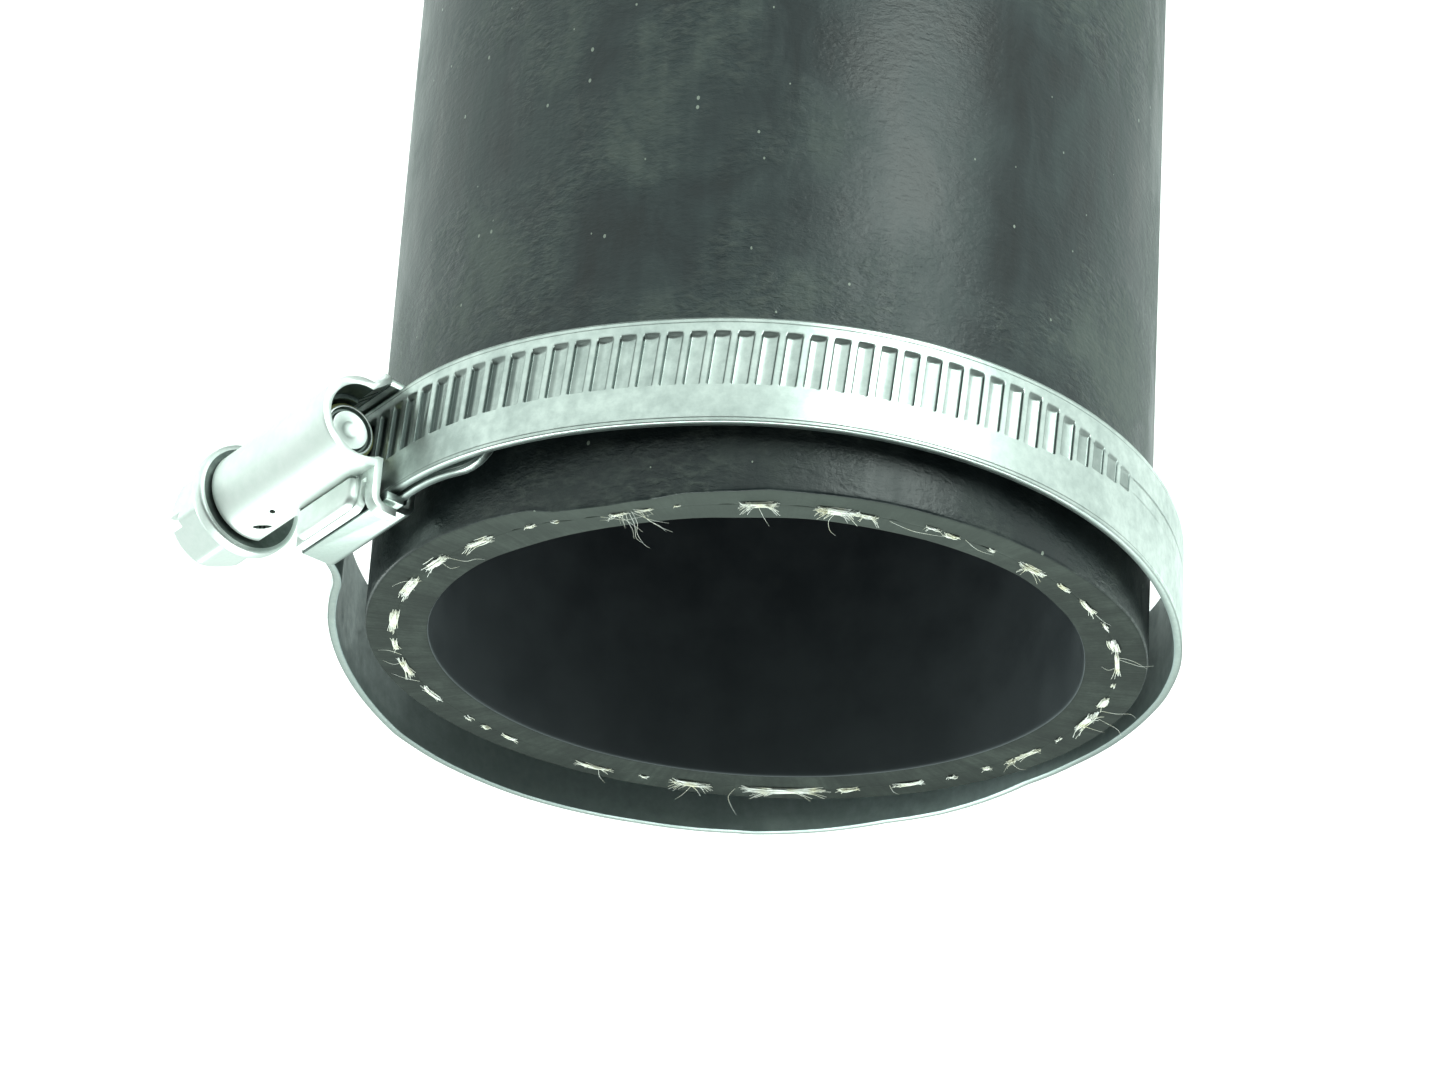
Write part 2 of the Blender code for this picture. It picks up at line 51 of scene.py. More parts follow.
# Hose, from the CAD solid's own box.
cover_low, cover_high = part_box("outer_cover")
AXIS_X = (cover_low[0] + cover_high[0]) / 2
AXIS_Y = (cover_low[1] + cover_high[1]) / 2
TOP = cover_high[2]
HOSE_R = 30.5 * MM
BORE_R = 25.5 * MM
PLY_R = 28.07 * MM

# Clamp, with the CAD's own sizes.
SEAT_GAP = 0.3 * MM
BAND_WIDTH = 9.0 * MM
BAND_THICKNESS = 0.7 * MM
BAND_OUTER_RADIUS = 32.9 * MM
BAND_MID_RADIUS = BAND_OUTER_RADIUS - BAND_THICKNESS / 2
BAND_END_RADIUS = 3.5 * MM
TONGUE_REACH_DEG = 15.5
TONGUE_SKEW = 1.15 * MM
TAIL_PAST_SADDLE = 1.6 * MM
SETTLE_DEG = 45.0
BULGE_START_DEG = 29.0
CORNER_RADIUS = 1.5 * MM
CORNER_PAST_SADDLE = 0.5 * MM
GROOVE_PITCH = 1.75 * MM
GROOVE_LENGTH = 4.6 * MM
GROOVE_DEPTH = 0.36 * MM
GROOVE_SLANT = math.tan(math.radians(4.5))
GROOVE_SHIFT = -1.0 * MM
GROOVE_COUNT = 42
CLAMP_TILT = math.radians(6.0)
CLAMP_BELOW_CUT = 5.56 * MM
CLAMP_SIDE_SHIFT = -0.2 * MM
CLAMP_BACK_SHIFT = ((BAND_OUTER_RADIUS - BAND_THICKNESS) * math.cos(CLAMP_TILT)
                    - BAND_WIDTH / 2 * math.sin(CLAMP_TILT) - HOSE_R - SEAT_GAP)
HOUSING_TURN = math.radians(180.0 + 52.7)
SHEET = 0.7 * MM
SADDLE_LIFT = 0.5 * MM
SADDLE_FRONT = -1.45 * MM
SADDLE_REAR = SADDLE_FRONT - 10.2 * MM
SADDLE_CORNER = 0.9 * MM
HOUSING_FRONT = -0.65 * MM
BARREL_REAR = HOUSING_FRONT - 15.4 * MM
BARREL_OFFSET = -0.4 * MM
NECK_HALF_WIDTH = 2.5 * MM
SKIRT_ANGLE = math.radians(100.0)
FOOT_LENGTH = 8.5 * MM
FOOT_OVERHANG = 0.2 * MM
FOOT_CORNER = 1.2 * MM
LUG_LENGTH = 1.0 * MM
LUG_NOTCH = 0.7 * MM
LUG_DROP = 1.3 * MM
LUG_BEND = 1.4 * MM
LIP_LENGTH = 0.9 * MM
THREAD_RADIUS = 2.65 * MM
CORE_RADIUS = 2.1 * MM
TIP_RADIUS = 2.3 * MM
TIP_RECESS = 1.9 * MM
TIP_LENGTH = 1.2 * MM
COLLAR_RADIUS = 4.55 * MM
COLLAR_THICKNESS = 1.2 * MM
HEAD_ACROSS_FLATS = 6.5 * MM
HEAD_LENGTH = 5.03 * MM
SLOT_WIDTH = 1.2 * MM
SLOT_DEPTH = 1.6 * MM
SCREW_TURN = math.radians(20.0)

INNER_LAYER = BAND_MID_RADIUS + SADDLE_LIFT
OUTER_LAYER = INNER_LAYER + BAND_THICKNESS + SEAT_GAP
SADDLE_TOP = INNER_LAYER - BAND_THICKNESS / 2 - SEAT_GAP
SADDLE_BOTTOM = SADDLE_TOP - SHEET
WALL_TOP = OUTER_LAYER + BAND_THICKNESS / 2 + 2 * SEAT_GAP
FOOT_BOTTOM = WALL_TOP + SEAT_GAP
FOOT_TOP = FOOT_BOTTOM + SHEET
SCREW_HEIGHT = OUTER_LAYER + BAND_THICKNESS / 2 + SEAT_GAP + THREAD_RADIUS
WALL_INSIDE = BAND_WIDTH / 2 + 0.35 * MM
WALL_OUTSIDE = WALL_INSIDE + SHEET
BARREL_INNER = THREAD_RADIUS + SEAT_GAP
BARREL_OUTER = BARREL_INNER + SHEET
TAIL_END = SADDLE_REAR - TAIL_PAST_SADDLE

CLAMP = Matrix.Translation((AXIS_X + CLAMP_SIDE_SHIFT, AXIS_Y + CLAMP_BACK_SHIFT, TOP - CLAMP_BELOW_CUT))
CLAMP = CLAMP @ Matrix.Rotation(CLAMP_TILT, 4, "X") @ Matrix.Rotation(HOUSING_TURN, 4, "Z")
SCREW = CLAMP @ Matrix.Translation((0.0, SCREW_HEIGHT, BARREL_OFFSET)) @ Matrix.Rotation(SCREW_TURN, 4, "X")

rng = random.Random(41)


# ---------------- materials


class Nodes:
    """Small helper round the node tree of a material or a world."""

    def __init__(self, owner):
        owner.use_nodes = True
        self.owner = owner
        self.tree = owner.node_tree

    def put(self, item, inputs):
        """Links each input that is given a socket, and sets one that is given a number, vector or colour."""
        for key, value in inputs.items():
            socket = item.inputs[key]
            if isinstance(value, bpy.types.NodeSocket):
                self.tree.links.new(value, socket)
            elif isinstance(value, tuple) and socket.type == "RGBA":
                socket.default_value = (*value, 1.0)
            else:
                socket.default_value = value

    def node(self, kind, inputs=None, **settings):
        item = self.tree.nodes.new("ShaderNode" + kind)
        for key, value in settings.items():
            setattr(item, key, value)
        self.put(item, inputs or {})
        return item

    def coords(self, scale=(1.0, 1.0, 1.0), offset=(0.0, 0.0, 0.0), source="Object"):
        place = self.node("TexCoord").outputs[source]
        return self.node("Mapping", {"Vector": place, "Scale": scale, "Location": offset}).outputs["Vector"]

    def noise(self, vector, scale, detail=3.0, rough=0.55, distortion=0.0):
        inputs = {"Vector": vector, "Scale": scale, "Detail": detail, "Roughness": rough, "Distortion": distortion}
        return self.node("TexNoise", inputs).outputs["Fac"]

    def ramp(self, fac, stops, interpolation="LINEAR"):
        item = self.node("ValToRGB", {"Fac": fac})
        item.color_ramp.interpolation = interpolation
        elements = item.color_ramp.elements
        while len(elements) > 1:
            elements.remove(elements[-1])
        for k, (at, color) in enumerate(stops):
            element = elements[0] if k == 0 else elements.new(at)
            element.position = at
            element.color = (*(color if isinstance(color, tuple) else (color,) * 3), 1.0)
        return item.outputs["Color"]

    def span(self, value, start, end, low=0.0, high=1.0):
        """The value's way from start to end, as low to high."""
        inputs = {"Value": value, "From Min": start, "From Max": end, "To Min": low, "To Max": high}
        return self.node("MapRange", inputs).outputs[0]

    def along(self, vector, axis, *limits):
        return self.span(self.node("SeparateXYZ", {0: vector}).outputs[axis], *limits)

    def vector_math(self, operation, vector, **inputs):
        return self.node("VectorMath", {0: vector, **inputs}, operation=operation).outputs

    def math(self, operation, a, b):
        return self.node("Math", {0: a, 1: b}, operation=operation).outputs[0]

    def times(self, a, b):
        return self.math("MULTIPLY", a, b)

    def weigh(self, *parts):
        """Sum of (value, weight) pairs."""
        terms = [self.times(value, weight) for value, weight in parts]
        total = terms[0]
        for term in terms[1:]:
            total = self.math("ADD", total, term)
        return total

    def mix(self, fac, a, b):
        return self.node("Mix", {0: fac, 6: a, 7: b}, data_type="RGBA").outputs[2]

    def bumps(self, *layers):
        """Bumps on top of each other, each as (height, strength, distance in mm)."""
        below = {}
        for height, strength, distance in layers:
            item = self.node("Bump", {"Height": height, "Strength": strength, "Distance": distance * MM, **below})
            below = {"Normal": item.outputs["Normal"]}
        return item.outputs["Normal"]

    def finish(self, color, rough, normal=None, metallic=0.0, **constants):
        shader = self.tree.nodes["Principled BSDF"]
        self.put(shader, {"Base Color": color, "Roughness": rough, "Metallic": metallic, "IOR": 1.5})
        if normal is not None:
            self.put(shader, {"Normal": normal})
        for name, value in constants.items():
            shader.inputs[name.replace("_", " ")].default_value = value
        return self.owner


def material_nodes(name):
    return Nodes(bpy.data.materials.new(name))


def cover_material():
    """Matt black rubber with handling marks: cloudy patches, fine cross wrinkles and dust."""
    n = material_nodes("cover_rubber")
    at = n.coords()
    broad = n.noise(at, 55.0)
    patch = n.noise(n.coords((1.0, 1.0, 0.6)), 170.0, 5.0, 0.62, 0.6)
    streak = n.noise(n.coords((1.0, 1.0, 0.09)), 420.0)
    wrinkle = n.noise(n.coords((1.0, 1.0, 2.0)), 950.0, 4.0, 0.6, 0.3)
    crease = n.noise(n.coords((1.0, 1.0, 1.6)), 2100.0, 3.0, 0.6, 0.2)
    fine = n.noise(at, 2600.0, 3.0, 0.6)
    value = n.weigh((broad, 0.42), (patch, 0.38), (streak, 0.2))
    color = n.ramp(value, [
        (0.4, (0.007, 0.011, 0.013)),
        (0.47, (0.015, 0.024, 0.027)),
        (0.54, (0.03, 0.044, 0.046)),
        (0.62, (0.078, 0.097, 0.09)),
    ])
    # Painted shade of the clamp band: the rubber is darker from 14 mm below the cut, fully from 8 mm below it up to
    # the cut.
    band_shade_share = n.along(at, 2, TOP - 14 * MM, TOP - 8 * MM)
    color = n.mix(n.times(band_shade_share, 0.6), color, (0.008, 0.011, 0.012))
    worn = n.ramp(broad, [(0.48, 0.0), (0.6, 1.0)])
    scuffs = n.times(worn, n.ramp(wrinkle, [(0.45, 0.0), (0.7, 0.55)]))
    color = n.mix(scuffs, color, (0.1, 0.115, 0.1))
    dust = n.node("TexVoronoi", {"Vector": n.coords((1.0, 1.0, 0.7)), "Scale": 1900.0}).outputs
    chance = n.node("SeparateColor", {0: dust["Color"]}).outputs
    size = n.times(n.math("POWER", chance[1], 3.0), 0.27)
    speck = n.times(n.math("LESS_THAN", chance[0], 0.055), n.math("LESS_THAN", dust["Distance"], size))
    color = n.mix(n.times(speck, 0.85), color, (0.36, 0.4, 0.34))
    rough = n.ramp(value, [(0.42, 0.28), (0.5, 0.36), (0.6, 0.55)])
    worn_wrinkle = n.times(wrinkle, n.math("ADD", worn, 0.35))
    worn_crease = n.times(crease, n.math("ADD", worn, 0.45))
    layers = [(fine, 0.22, 0.06), (patch, 0.3, 0.3), (worn_wrinkle, 0.6, 0.2), (worn_crease, 0.45, 0.1)]
    return n.finish(color, rough, n.bumps(*layers))


def cut_material():
    """Knife-cut rubber: lighter, with fine radial marks that are strongest in the outer half."""
    n = material_nodes("cut_rubber")
    at = n.coords()
    place = n.coords((1.0, 1.0, 0.0), (-AXIS_X, -AXIS_Y, 0.0))
    radius = n.vector_math("LENGTH", place)["Value"]
    unit = n.vector_math("NORMALIZE", place)[0]
    round_hose = n.vector_math("SCALE", unit, Scale=HOSE_R)[0]
    streaks = n.noise(round_hose, 2000.0, 2.0, 0.6)
    area = n.noise(round_hose, 60.0, 2.0, 0.5)
    fine = n.noise(at, 3000.0, 3.0, 0.6)
    patch = n.noise(at, 330.0, 4.0)
    marks = n.times(n.ramp(streaks, [(0.35, 1.0), (0.43, 0.0)]), n.span(radius, 28.4 * MM, 30.0 * MM))
    marks = n.times(marks, n.ramp(area, [(0.44, 0.1), (0.56, 1.0)]))
    color = n.ramp(n.weigh((streaks, 0.25), (patch, 0.55), (fine, 0.2)), [
        (0.36, (0.01, 0.014, 0.012)),
        (0.5, (0.019, 0.025, 0.021)),
        (0.63, (0.037, 0.046, 0.039)),
    ])
    color = n.mix(n.times(marks, 0.7), color, (0.012, 0.016, 0.014))
    # Lighter towards the near side (-Y), from 14 mm in front of the axis out to the rim.
    near_side_share = n.along(at, 1, AXIS_Y - 14 * MM, AXIS_Y - 30 * MM)
    color = n.mix(n.times(near_side_share, 0.5), color, (0.085, 0.1, 0.088))
    return n.finish(color, 0.7, n.bumps((streaks, 0.35, 0.12), (fine, 0.3, 0.05)), Specular_IOR_Level=0.3)


def liner_material():
    n = material_nodes("liner_rubber")
    at = n.coords()
    patch = n.noise(at, 220.0, 4.0, 0.6)
    color = n.ramp(patch, [(0.35, (0.034, 0.037, 0.046)), (0.65, (0.07, 0.076, 0.087))])
    # Painted light: the bore is lighter towards the cut, from 28 mm inside it, where light falls in.
    color = n.mix(n.times(n.along(at, 2, TOP - 28 * MM, TOP), 0.55), color, (0.15, 0.17, 0.18))
    rough = n.ramp(patch, [(0.35, 0.5), (0.65, 0.66)])
    return n.finish(color, rough, n.bumps((n.noise(at, 2400.0, 3.0, 0.6), 0.2, 0.05)))


def yarn_material():
    n = material_nodes("yarn")
    patch = n.noise(n.coords(), 900.0, 3.0, 0.5)
    color = n.ramp(patch, [(0.3, (0.78, 0.74, 0.56)), (0.48, (0.97, 0.96, 0.86)), (0.62, (1.0, 1.0, 0.97))])
    return n.finish(color, 0.75, Sheen_Weight=0.25, Sheen_Roughness=0.4)


def zinc_material(name, dark, light, smooth, dull, brushed_and_shaded=False, metallic=1.0):
    """Bright zinc plating between two tones and two roughnesses: soft cloudy tone, fine grain and scratches."""
    n = material_nodes(name)
    at = n.coords()
    spots = n.noise(at, 1100.0, 4.0, 0.65)
    value = n.weigh((n.noise(at, 170.0, 4.0, 0.6), 0.55), (spots, 0.45))
    middle = tuple((a + b) / 2 for a, b in zip(dark, light))
    color = n.ramp(value, [(0.36, dark), (0.5, middle), (0.62, light)])
    layers = [(spots, 0.12, 0.06), (n.noise(at, 6000.0, 2.0, 0.5), 0.1, 0.03)]
    if brushed_and_shaded:
        # Painted shade: the shade attribute darkens the colour towards a dark grey-green.
        shade = n.node("Attribute", attribute_name="shade").outputs["Fac"]
        color = n.mix(shade, color, (0.09, 0.11, 0.105))
        layers.append((n.noise(n.coords((120.0, 9000.0, 1.0), source="UV"), 1.0, 3.0, 0.6), 0.12, 0.03))
    return n.finish(color, n.ramp(value, [(0.36, dull), (0.64, smooth)]), n.bumps(*layers), metallic)


RUBBER = cover_material()
CUT = cut_material()
LINER = liner_material()
YARN = yarn_material()
# The strip's inside: a less metallic copy of the band's zinc, darkened by angle with painted shade through the shade
# attribute.
BAND_INSIDE = zinc_material("band_inside", (0.42, 0.5, 0.5), (0.62, 0.72, 0.72), 0.36, 0.55, True, 0.45)
BAND_ZINC = zinc_material("band_zinc", (0.5, 0.56, 0.54), (0.74, 0.8, 0.77), 0.3, 0.46, True)
HOUSING_ZINC = zinc_material("housing_zinc", (0.86, 0.91, 0.88), (0.97, 1.0, 0.98), 0.38, 0.52)
# Painted shade: a darker copy of the housing's zinc for the foot's top.
FOOT_SHADE_ZINC = zinc_material("foot_shade_zinc", (0.6, 0.66, 0.63), (0.78, 0.84, 0.81), 0.38, 0.52)
# Painted shade: a dark copy of the housing's zinc for faces that lie in shadow.
HOUSING_SHADE_ZINC = zinc_material("housing_shade_zinc", (0.1, 0.125, 0.12), (0.2, 0.24, 0.23), 0.45, 0.6)
SADDLE_ZINC = zinc_material("saddle_zinc", (0.5, 0.57, 0.54), (0.72, 0.79, 0.76), 0.3, 0.45)
SCREW_ZINC = zinc_material("screw_zinc", (0.8, 0.86, 0.83), (0.96, 1.0, 0.98), 0.34, 0.48)
SCREW_YELLOW = zinc_material("screw_yellow", (0.5, 0.5, 0.22), (0.8, 0.8, 0.42), 0.4, 0.55)
# Painted shade: a dark copy of the screw's zinc for its shaded faces.
SCREW_SHADE_ZINC = zinc_material("screw_shade_zinc", (0.13, 0.16, 0.15), (0.26, 0.3, 0.28), 0.4, 0.55)


# ---------------- mesh tools


def rework(mesh, operate):
    """Opens a mesh as a bmesh, operates on it and writes it back."""
    bm = bmesh.new()
    bm.from_mesh(mesh)
    operate(bm)
    bm.to_mesh(mesh)
    bm.free()


def link_object(name, data):
    item = bpy.data.objects.new(name, data)
    bpy.context.collection.objects.link(item)
    return item


def dress(item, materials, face_slots, sharp, slot, body):
    """Gives a piece its materials, shading and body; its slot argument is not used."""
    mesh = item.data
    mesh.materials.clear()
    for material in materials:
        mesh.materials.append(material)
    if face_slots is not None:
        mesh.polygons.foreach_set("material_index", face_slots)
    mesh.shade_smooth()
    if sharp is not None:
        mesh.set_sharp_from_angle(angle=math.radians(sharp))
    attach(item, body)


def piece(name, verts, faces, materials, slot, body, matrix=None, sharp=None, face_slots=None, uv=None):
    mesh = bpy.data.meshes.new(name)
    mesh.from_pydata([tuple(v) for v in verts], [], faces)
    if matrix is not None:
        mesh.transform(matrix)
    if uv is not None:
        layer = mesh.uv_layers.new(name="UVMap")
        loops = np.zeros(len(mesh.loops), dtype=np.int32)
        mesh.loops.foreach_get("vertex_index", loops)
        layer.data.foreach_set("uv", np.asarray(uv, dtype=np.float32)[loops].ravel())
    mesh.update()
    item = link_object(name, mesh)
    dress(item, materials, face_slots, sharp, slot, body)
    return item


def grid_faces(rows, columns, wrap_rows=False):
    """Quads of a grid whose vertex (i, j) has the index i * columns + j; its last column meets its first."""
    i, j = np.meshgrid(np.arange(rows if wrap_rows else rows - 1), np.arange(columns), indexing="ij")
    i = i.ravel()
    j = j.ravel()
    i2 = (i + 1) % rows
    j2 = (j + 1) % columns
    return np.stack([i * columns + j, i * columns + j2, i2 * columns + j2, i2 * columns + j], axis=1).tolist()


def soft_table(angles, table):
    """Smooth periodic curve through (degrees, value) pairs, read at angles in degrees."""
    at = np.array([a for a, _ in table], dtype=float)
    values = np.array([v for _, v in table], dtype=float)
    at = np.concatenate([at - 360.0, at, at + 360.0])
    values = np.concatenate([values, values, values])
    angles = np.asarray(angles, dtype=float) % 360.0
    k = np.clip(np.searchsorted(at, angles, side="right") - 1, 0, len(at) - 2)
    share = (angles - at[k]) / (at[k + 1] - at[k])
    share = share * share * (3 - 2 * share)
    return values[k] + (values[k + 1] - values[k]) * share


def ripple(angles, seed, terms, amplitude):
    """Smooth seeded unevenness round the hose; terms are (first, last) waves per turn."""
    local = random.Random(seed)
    total = np.zeros_like(angles)
    for waves in range(terms[0], terms[1] + 1):
        phase = local.uniform(0, 2 * math.pi)
        weight = local.uniform(0.4, 1.0) / math.sqrt(waves)
        total += weight * np.sin(np.radians(angles) * waves + phase)
    return amplitude * total / math.sqrt(terms[1] - terms[0] + 1)


# ---------------- hose

SEGMENTS = 480
# Angles: 0 towards -X, 90 towards +Y, 180 towards +X, 270 towards -Y.
theta = np.arange(SEGMENTS) * 360.0 / SEGMENTS
cos_t = -np.cos(np.radians(theta))
sin_t = np.sin(np.radians(theta))

# Height of the knife cut above the hose's end plane, at the outside and at the bore, in mm, and how far
# the bore's edge is spread outwards, by angle.
RIM_HEIGHT = [
    (0, -0.05), (20, -0.05), (60, 0.05), (100, 0), (140, -0.05), (180, 0), (215, -0.05), (228, 0.12),
    (235, 0.3), (242, 0.92), (248, 0.98), (254, 0.78), (261, 0.32), (266, 0.2), (272, -0.06), (288, -0.16),
    (300, -0.06), (319, 0.12), (332, 0.08), (345, -0.06),
]
BORE_HEIGHT = [
    (0, 0), (60, 0), (120, 0.05), (180, 0), (212, 0.08), (230, 0.32), (246, 0.3), (264, 0.1),
    (280, -0.1), (320, -0.12), (345, 0),
]
BORE_SPREAD = [
    (0, 0), (20, 0.1), (60, 0), (120, 0), (180, 0), (210, -0.1), (240, -0.1), (265, 0),
    (285, 0.35), (300, 0.5), (315, 0.6), (334, 0.3),
]

rim_height = (soft_table(theta, RIM_HEIGHT) + ripple(theta, 3, (6, 34), 0.05)) * MM
bore_height = (soft_table(theta, BORE_HEIGHT) + ripple(theta, 5, (6, 30), 0.03)) * MM
bore_spread = (soft_table(theta, BORE_SPREAD) + ripple(theta, 7, (5, 20), 0.03)) * MM
rim_wave = ripple(theta, 9, (8, 60), 0.035) * MM


def cut_height(radius):
    """Height of the cut face at a radius, for each angle."""
    share = np.clip((radius - BORE_R) / (HOSE_R - BORE_R), 0.0, 1.0)
    grain = ripple(theta, int(radius * 1e5) % 97, (20, 70), 0.012) * MM
    return bore_height * (1 - share) + rim_height * share ** 1.3 + grain


# Where the wall has parted along the ply, from one angle to another.
SLITS = [
    (12.5, 15), (36, 38), (62.5, 64.5), (71, 74), (229.5, 231.5), (235.5, 241.5), (243, 245.5),
    (264, 267), (275, 278.5), (290, 291.5), (305.5, 308), (314.5, 317), (329.5, 332),
]
slit = np.zeros(SEGMENTS)
for slit_from, slit_to in SLITS:
    middle = (slit_from + slit_to) / 2
    half = (slit_to - slit_from) / 2
    slit = np.maximum(slit, np.clip(1.0 - np.abs(theta - middle) / half, 0.0, 1.0) ** 0.5)
slit_gap = 0.0015 * MM + 0.05 * MM * slit
slit_edge = np.maximum(slit, 0.06)


SKIN = 0
CUT_FACE = 1


def hose_wall(name, rows, wall_materials, slot_name, node):
    """A wall of the hose: rows of (radius per angle, height per angle, material of the face that follows)."""
    grid = np.zeros((SEGMENTS, len(rows), 3))
    for j, (radius, height, _) in enumerate(rows):
        grid[:, j, 0] = AXIS_X + radius * cos_t
        grid[:, j, 1] = AXIS_Y + radius * sin_t
        grid[:, j, 2] = height
    faces = grid_faces(SEGMENTS, len(rows), wrap_rows=True)
    kinds = [row[2] for row in rows] * SEGMENTS
    item = piece(name, grid.reshape(-1, 3), faces, wall_materials, slot_name, CLAMPED, face_slots=kinds, sharp=50)
    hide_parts(node)


def outside_radius(level):
    """The outside is a little uneven, round the hose and along it."""
    first = ripple(theta, 11, (2, 7), 0.05) * MM * math.cos(level * 37.0)
    second = ripple(theta, 13, (3, 9), 0.04) * MM * math.sin(level * 61.0)
    return HOSE_R - 0.06 * MM + first + second


def cut_rows(first, last, count):
    """Rows across the cut face, from one radius to another."""
    return [(radius, TOP + cut_height(radius), CUT_FACE) for radius in np.linspace(first, last, count)]


def build_cover():
    inner = PLY_R + slit_gap
    rows = [(inner, 0.0, CUT_FACE), (HOSE_R - 0.4 * MM, 0.0, CUT_FACE), (HOSE_R - 0.12 * MM, 0.1 * MM, SKIN)]
    rim_depth = 3 * MM
    for level in [*np.linspace(0.4 * MM, TOP - rim_depth, 46), *np.linspace(TOP - 2.6 * MM, TOP - 0.5 * MM, 10)]:
        share = max(0.0, 1.0 - (TOP - level) / rim_depth)
        rows.append((outside_radius(level) + rim_wave * share, level + rim_height * share, SKIN))
    edge = outside_radius(TOP) + rim_wave
    for inset, drop, kind in ((0.0, 0.22, SKIN), (0.03, 0.1, SKIN), (0.1, 0.03, CUT_FACE)):
        rows.append((edge - inset * MM, TOP - drop * MM + cut_height(HOSE_R), kind))
    rows += cut_rows(HOSE_R - 0.3 * MM, PLY_R + 0.22 * MM, 9)
    ply_height = cut_height(PLY_R)
    rows.append((inner + 0.05 * MM * slit_edge, TOP - 0.01 * MM * slit_edge + ply_height, CUT_FACE))
    rows.append((inner, TOP - 0.06 * MM * slit_edge + ply_height, CUT_FACE))
    rows.append((inner, TOP - 0.8 * MM, CUT_FACE))
    hose_wall("cover_shell", rows, [RUBBER, CUT], "cover_rubber", "outer_cover")


def build_liner():
    outer = PLY_R - slit_gap
    ply_height = cut_height(PLY_R)
    rows = [(outer, 0.0, CUT_FACE), (outer, TOP - 0.8 * MM, CUT_FACE)]
    rows.append((outer, TOP - 0.06 * MM * slit_edge + ply_height, CUT_FACE))
    rows.append((outer - 0.05 * MM * slit_edge, TOP - 0.01 * MM * slit_edge + ply_height, CUT_FACE))
    rows += cut_rows(PLY_R - 0.22 * MM, BORE_R + 0.75 * MM, 7)
    for inset, drop, kind in ((0.18, 0.0, CUT_FACE), (0.08, 0.04, SKIN), (0.02, 0.12, SKIN)):
        rows.append((BORE_R + bore_spread + inset * MM, TOP - drop * MM + cut_height(BORE_R), kind))
    for depth in (0.25, 0.6, 1.2, 2.0, 3.0, 4.5, 6.5, 9.0, 12.0, 20.0, 35.0, 55.0, 80.0, 105.0):
        fade = max(0.0, 1.0 - depth / 9.0) ** 1.5
        uneven = ripple(theta, 21, (2, 6), 0.04) * MM * math.sin(depth * 0.7)
        rows.append((BORE_R + bore_spread * fade + uneven, TOP - depth * MM + bore_height * fade, SKIN))
    rows += [(BORE_R, 0.2 * MM, SKIN), (BORE_R + 0.2 * MM, 0.0, CUT_FACE)]
    hose_wall("liner_shell", rows, [LINER, CUT], "liner_rubber", "inner_tube")


build_cover()
build_liner()


# ---------------- yarn


def on_face(angle, radius):
    """A point of the cut face; the angle is in degrees, the radius in metres."""
    share = min(max((radius - BORE_R) / (HOSE_R - BORE_R), 0.0), 1.0)
    k = int(round(angle * SEGMENTS / 360.0)) % SEGMENTS
    height = bore_height[k] * (1 - share) + rim_height[k] * share ** 1.3
    a = math.radians(angle)
    return Vector((AXIS_X - radius * math.cos(a), AXIS_Y + radius * math.sin(a), TOP + height))


class Fibres:
    """Collects thin tapered tubes into one mesh."""

    SIDES = 5

    def __init__(self):
        self.verts = []
        self.faces = []

    def tube(self, points, radius, tip=0.35, root=0.8):
        count = len(points)
        start = len(self.verts)
        for k, point in enumerate(points):
            ahead = points[min(k + 1, count - 1)] - points[max(k - 1, 0)]
            ahead = ahead.normalized() if ahead.length > 1e-9 else Vector((0, 0, 1))
            side = ahead.cross(Vector((0.31, 0.17, 0.93))).normalized()
            other = ahead.cross(side)
            share = k / (count - 1)
            size = radius * (root + (1 - root) * min(1.0, share * 4)) * (1 - (1 - tip) * max(0.0, share * 1.6 - 0.6))
            for s in range(self.SIDES):
                a = 2 * math.pi * s / self.SIDES
                self.verts.append(point + side * (size * math.cos(a)) + other * (size * math.sin(a)))
        for a in range(start, start + (count - 1) * self.SIDES, self.SIDES):
            b = a + self.SIDES
            for s in range(self.SIDES):
                s2 = (s + 1) % self.SIDES
                self.faces.append((a + s, a + s2, b + s2, b + s))
        self.faces.append(tuple(reversed(range(start, start + self.SIDES))))
        end = start + (count - 1) * self.SIDES
        self.faces.append(tuple(range(end, end + self.SIDES)))


def bundle(fibres, start_deg, end_deg, radius_shift, thick, count, stand, fan):
    """A cut yarn that lies along the ply and frays at its ends, standing up from the face."""
    steps = 7
    for _ in range(count):
        length = end_deg - start_deg
        a = start_deg + length * rng.uniform(-0.04, 0.22)
        b = end_deg - length * rng.uniform(-0.04, 0.3)
        if rng.random() < 0.5:
            a, b = b, a
        offset = rng.gauss(0, thick * 0.36)
        depth = rng.uniform(-0.2, 0.3) * thick
        arch = 0.1 * rng.uniform(0.4, 1.3)
        frayed = rng.random() < 0.42
        rise = stand * rng.uniform(0.25, 1.0) if frayed else stand * rng.uniform(0.0, 0.15)
        slide = fan * rng.uniform(-1.0, 1.0)
        points = []
        for k in range(steps + 1):
            u = k / steps
            angle = a + (b - a) * u + rng.gauss(0, 0.03)
            bend = max(0.0, u - 0.6) / 0.4
            radius = PLY_R + (radius_shift + offset + slide * bend ** 1.5) * MM
            height = (depth + arch * math.sin(math.pi * min(1.0, u * 1.25)) + rise * bend ** 1.4) * MM
            if k == 0:
                height = -0.12 * MM
            points.append(on_face(angle, radius) + Vector((0, 0, height)))
        fibres.tube(points, rng.uniform(0.036, 0.066) * MM)


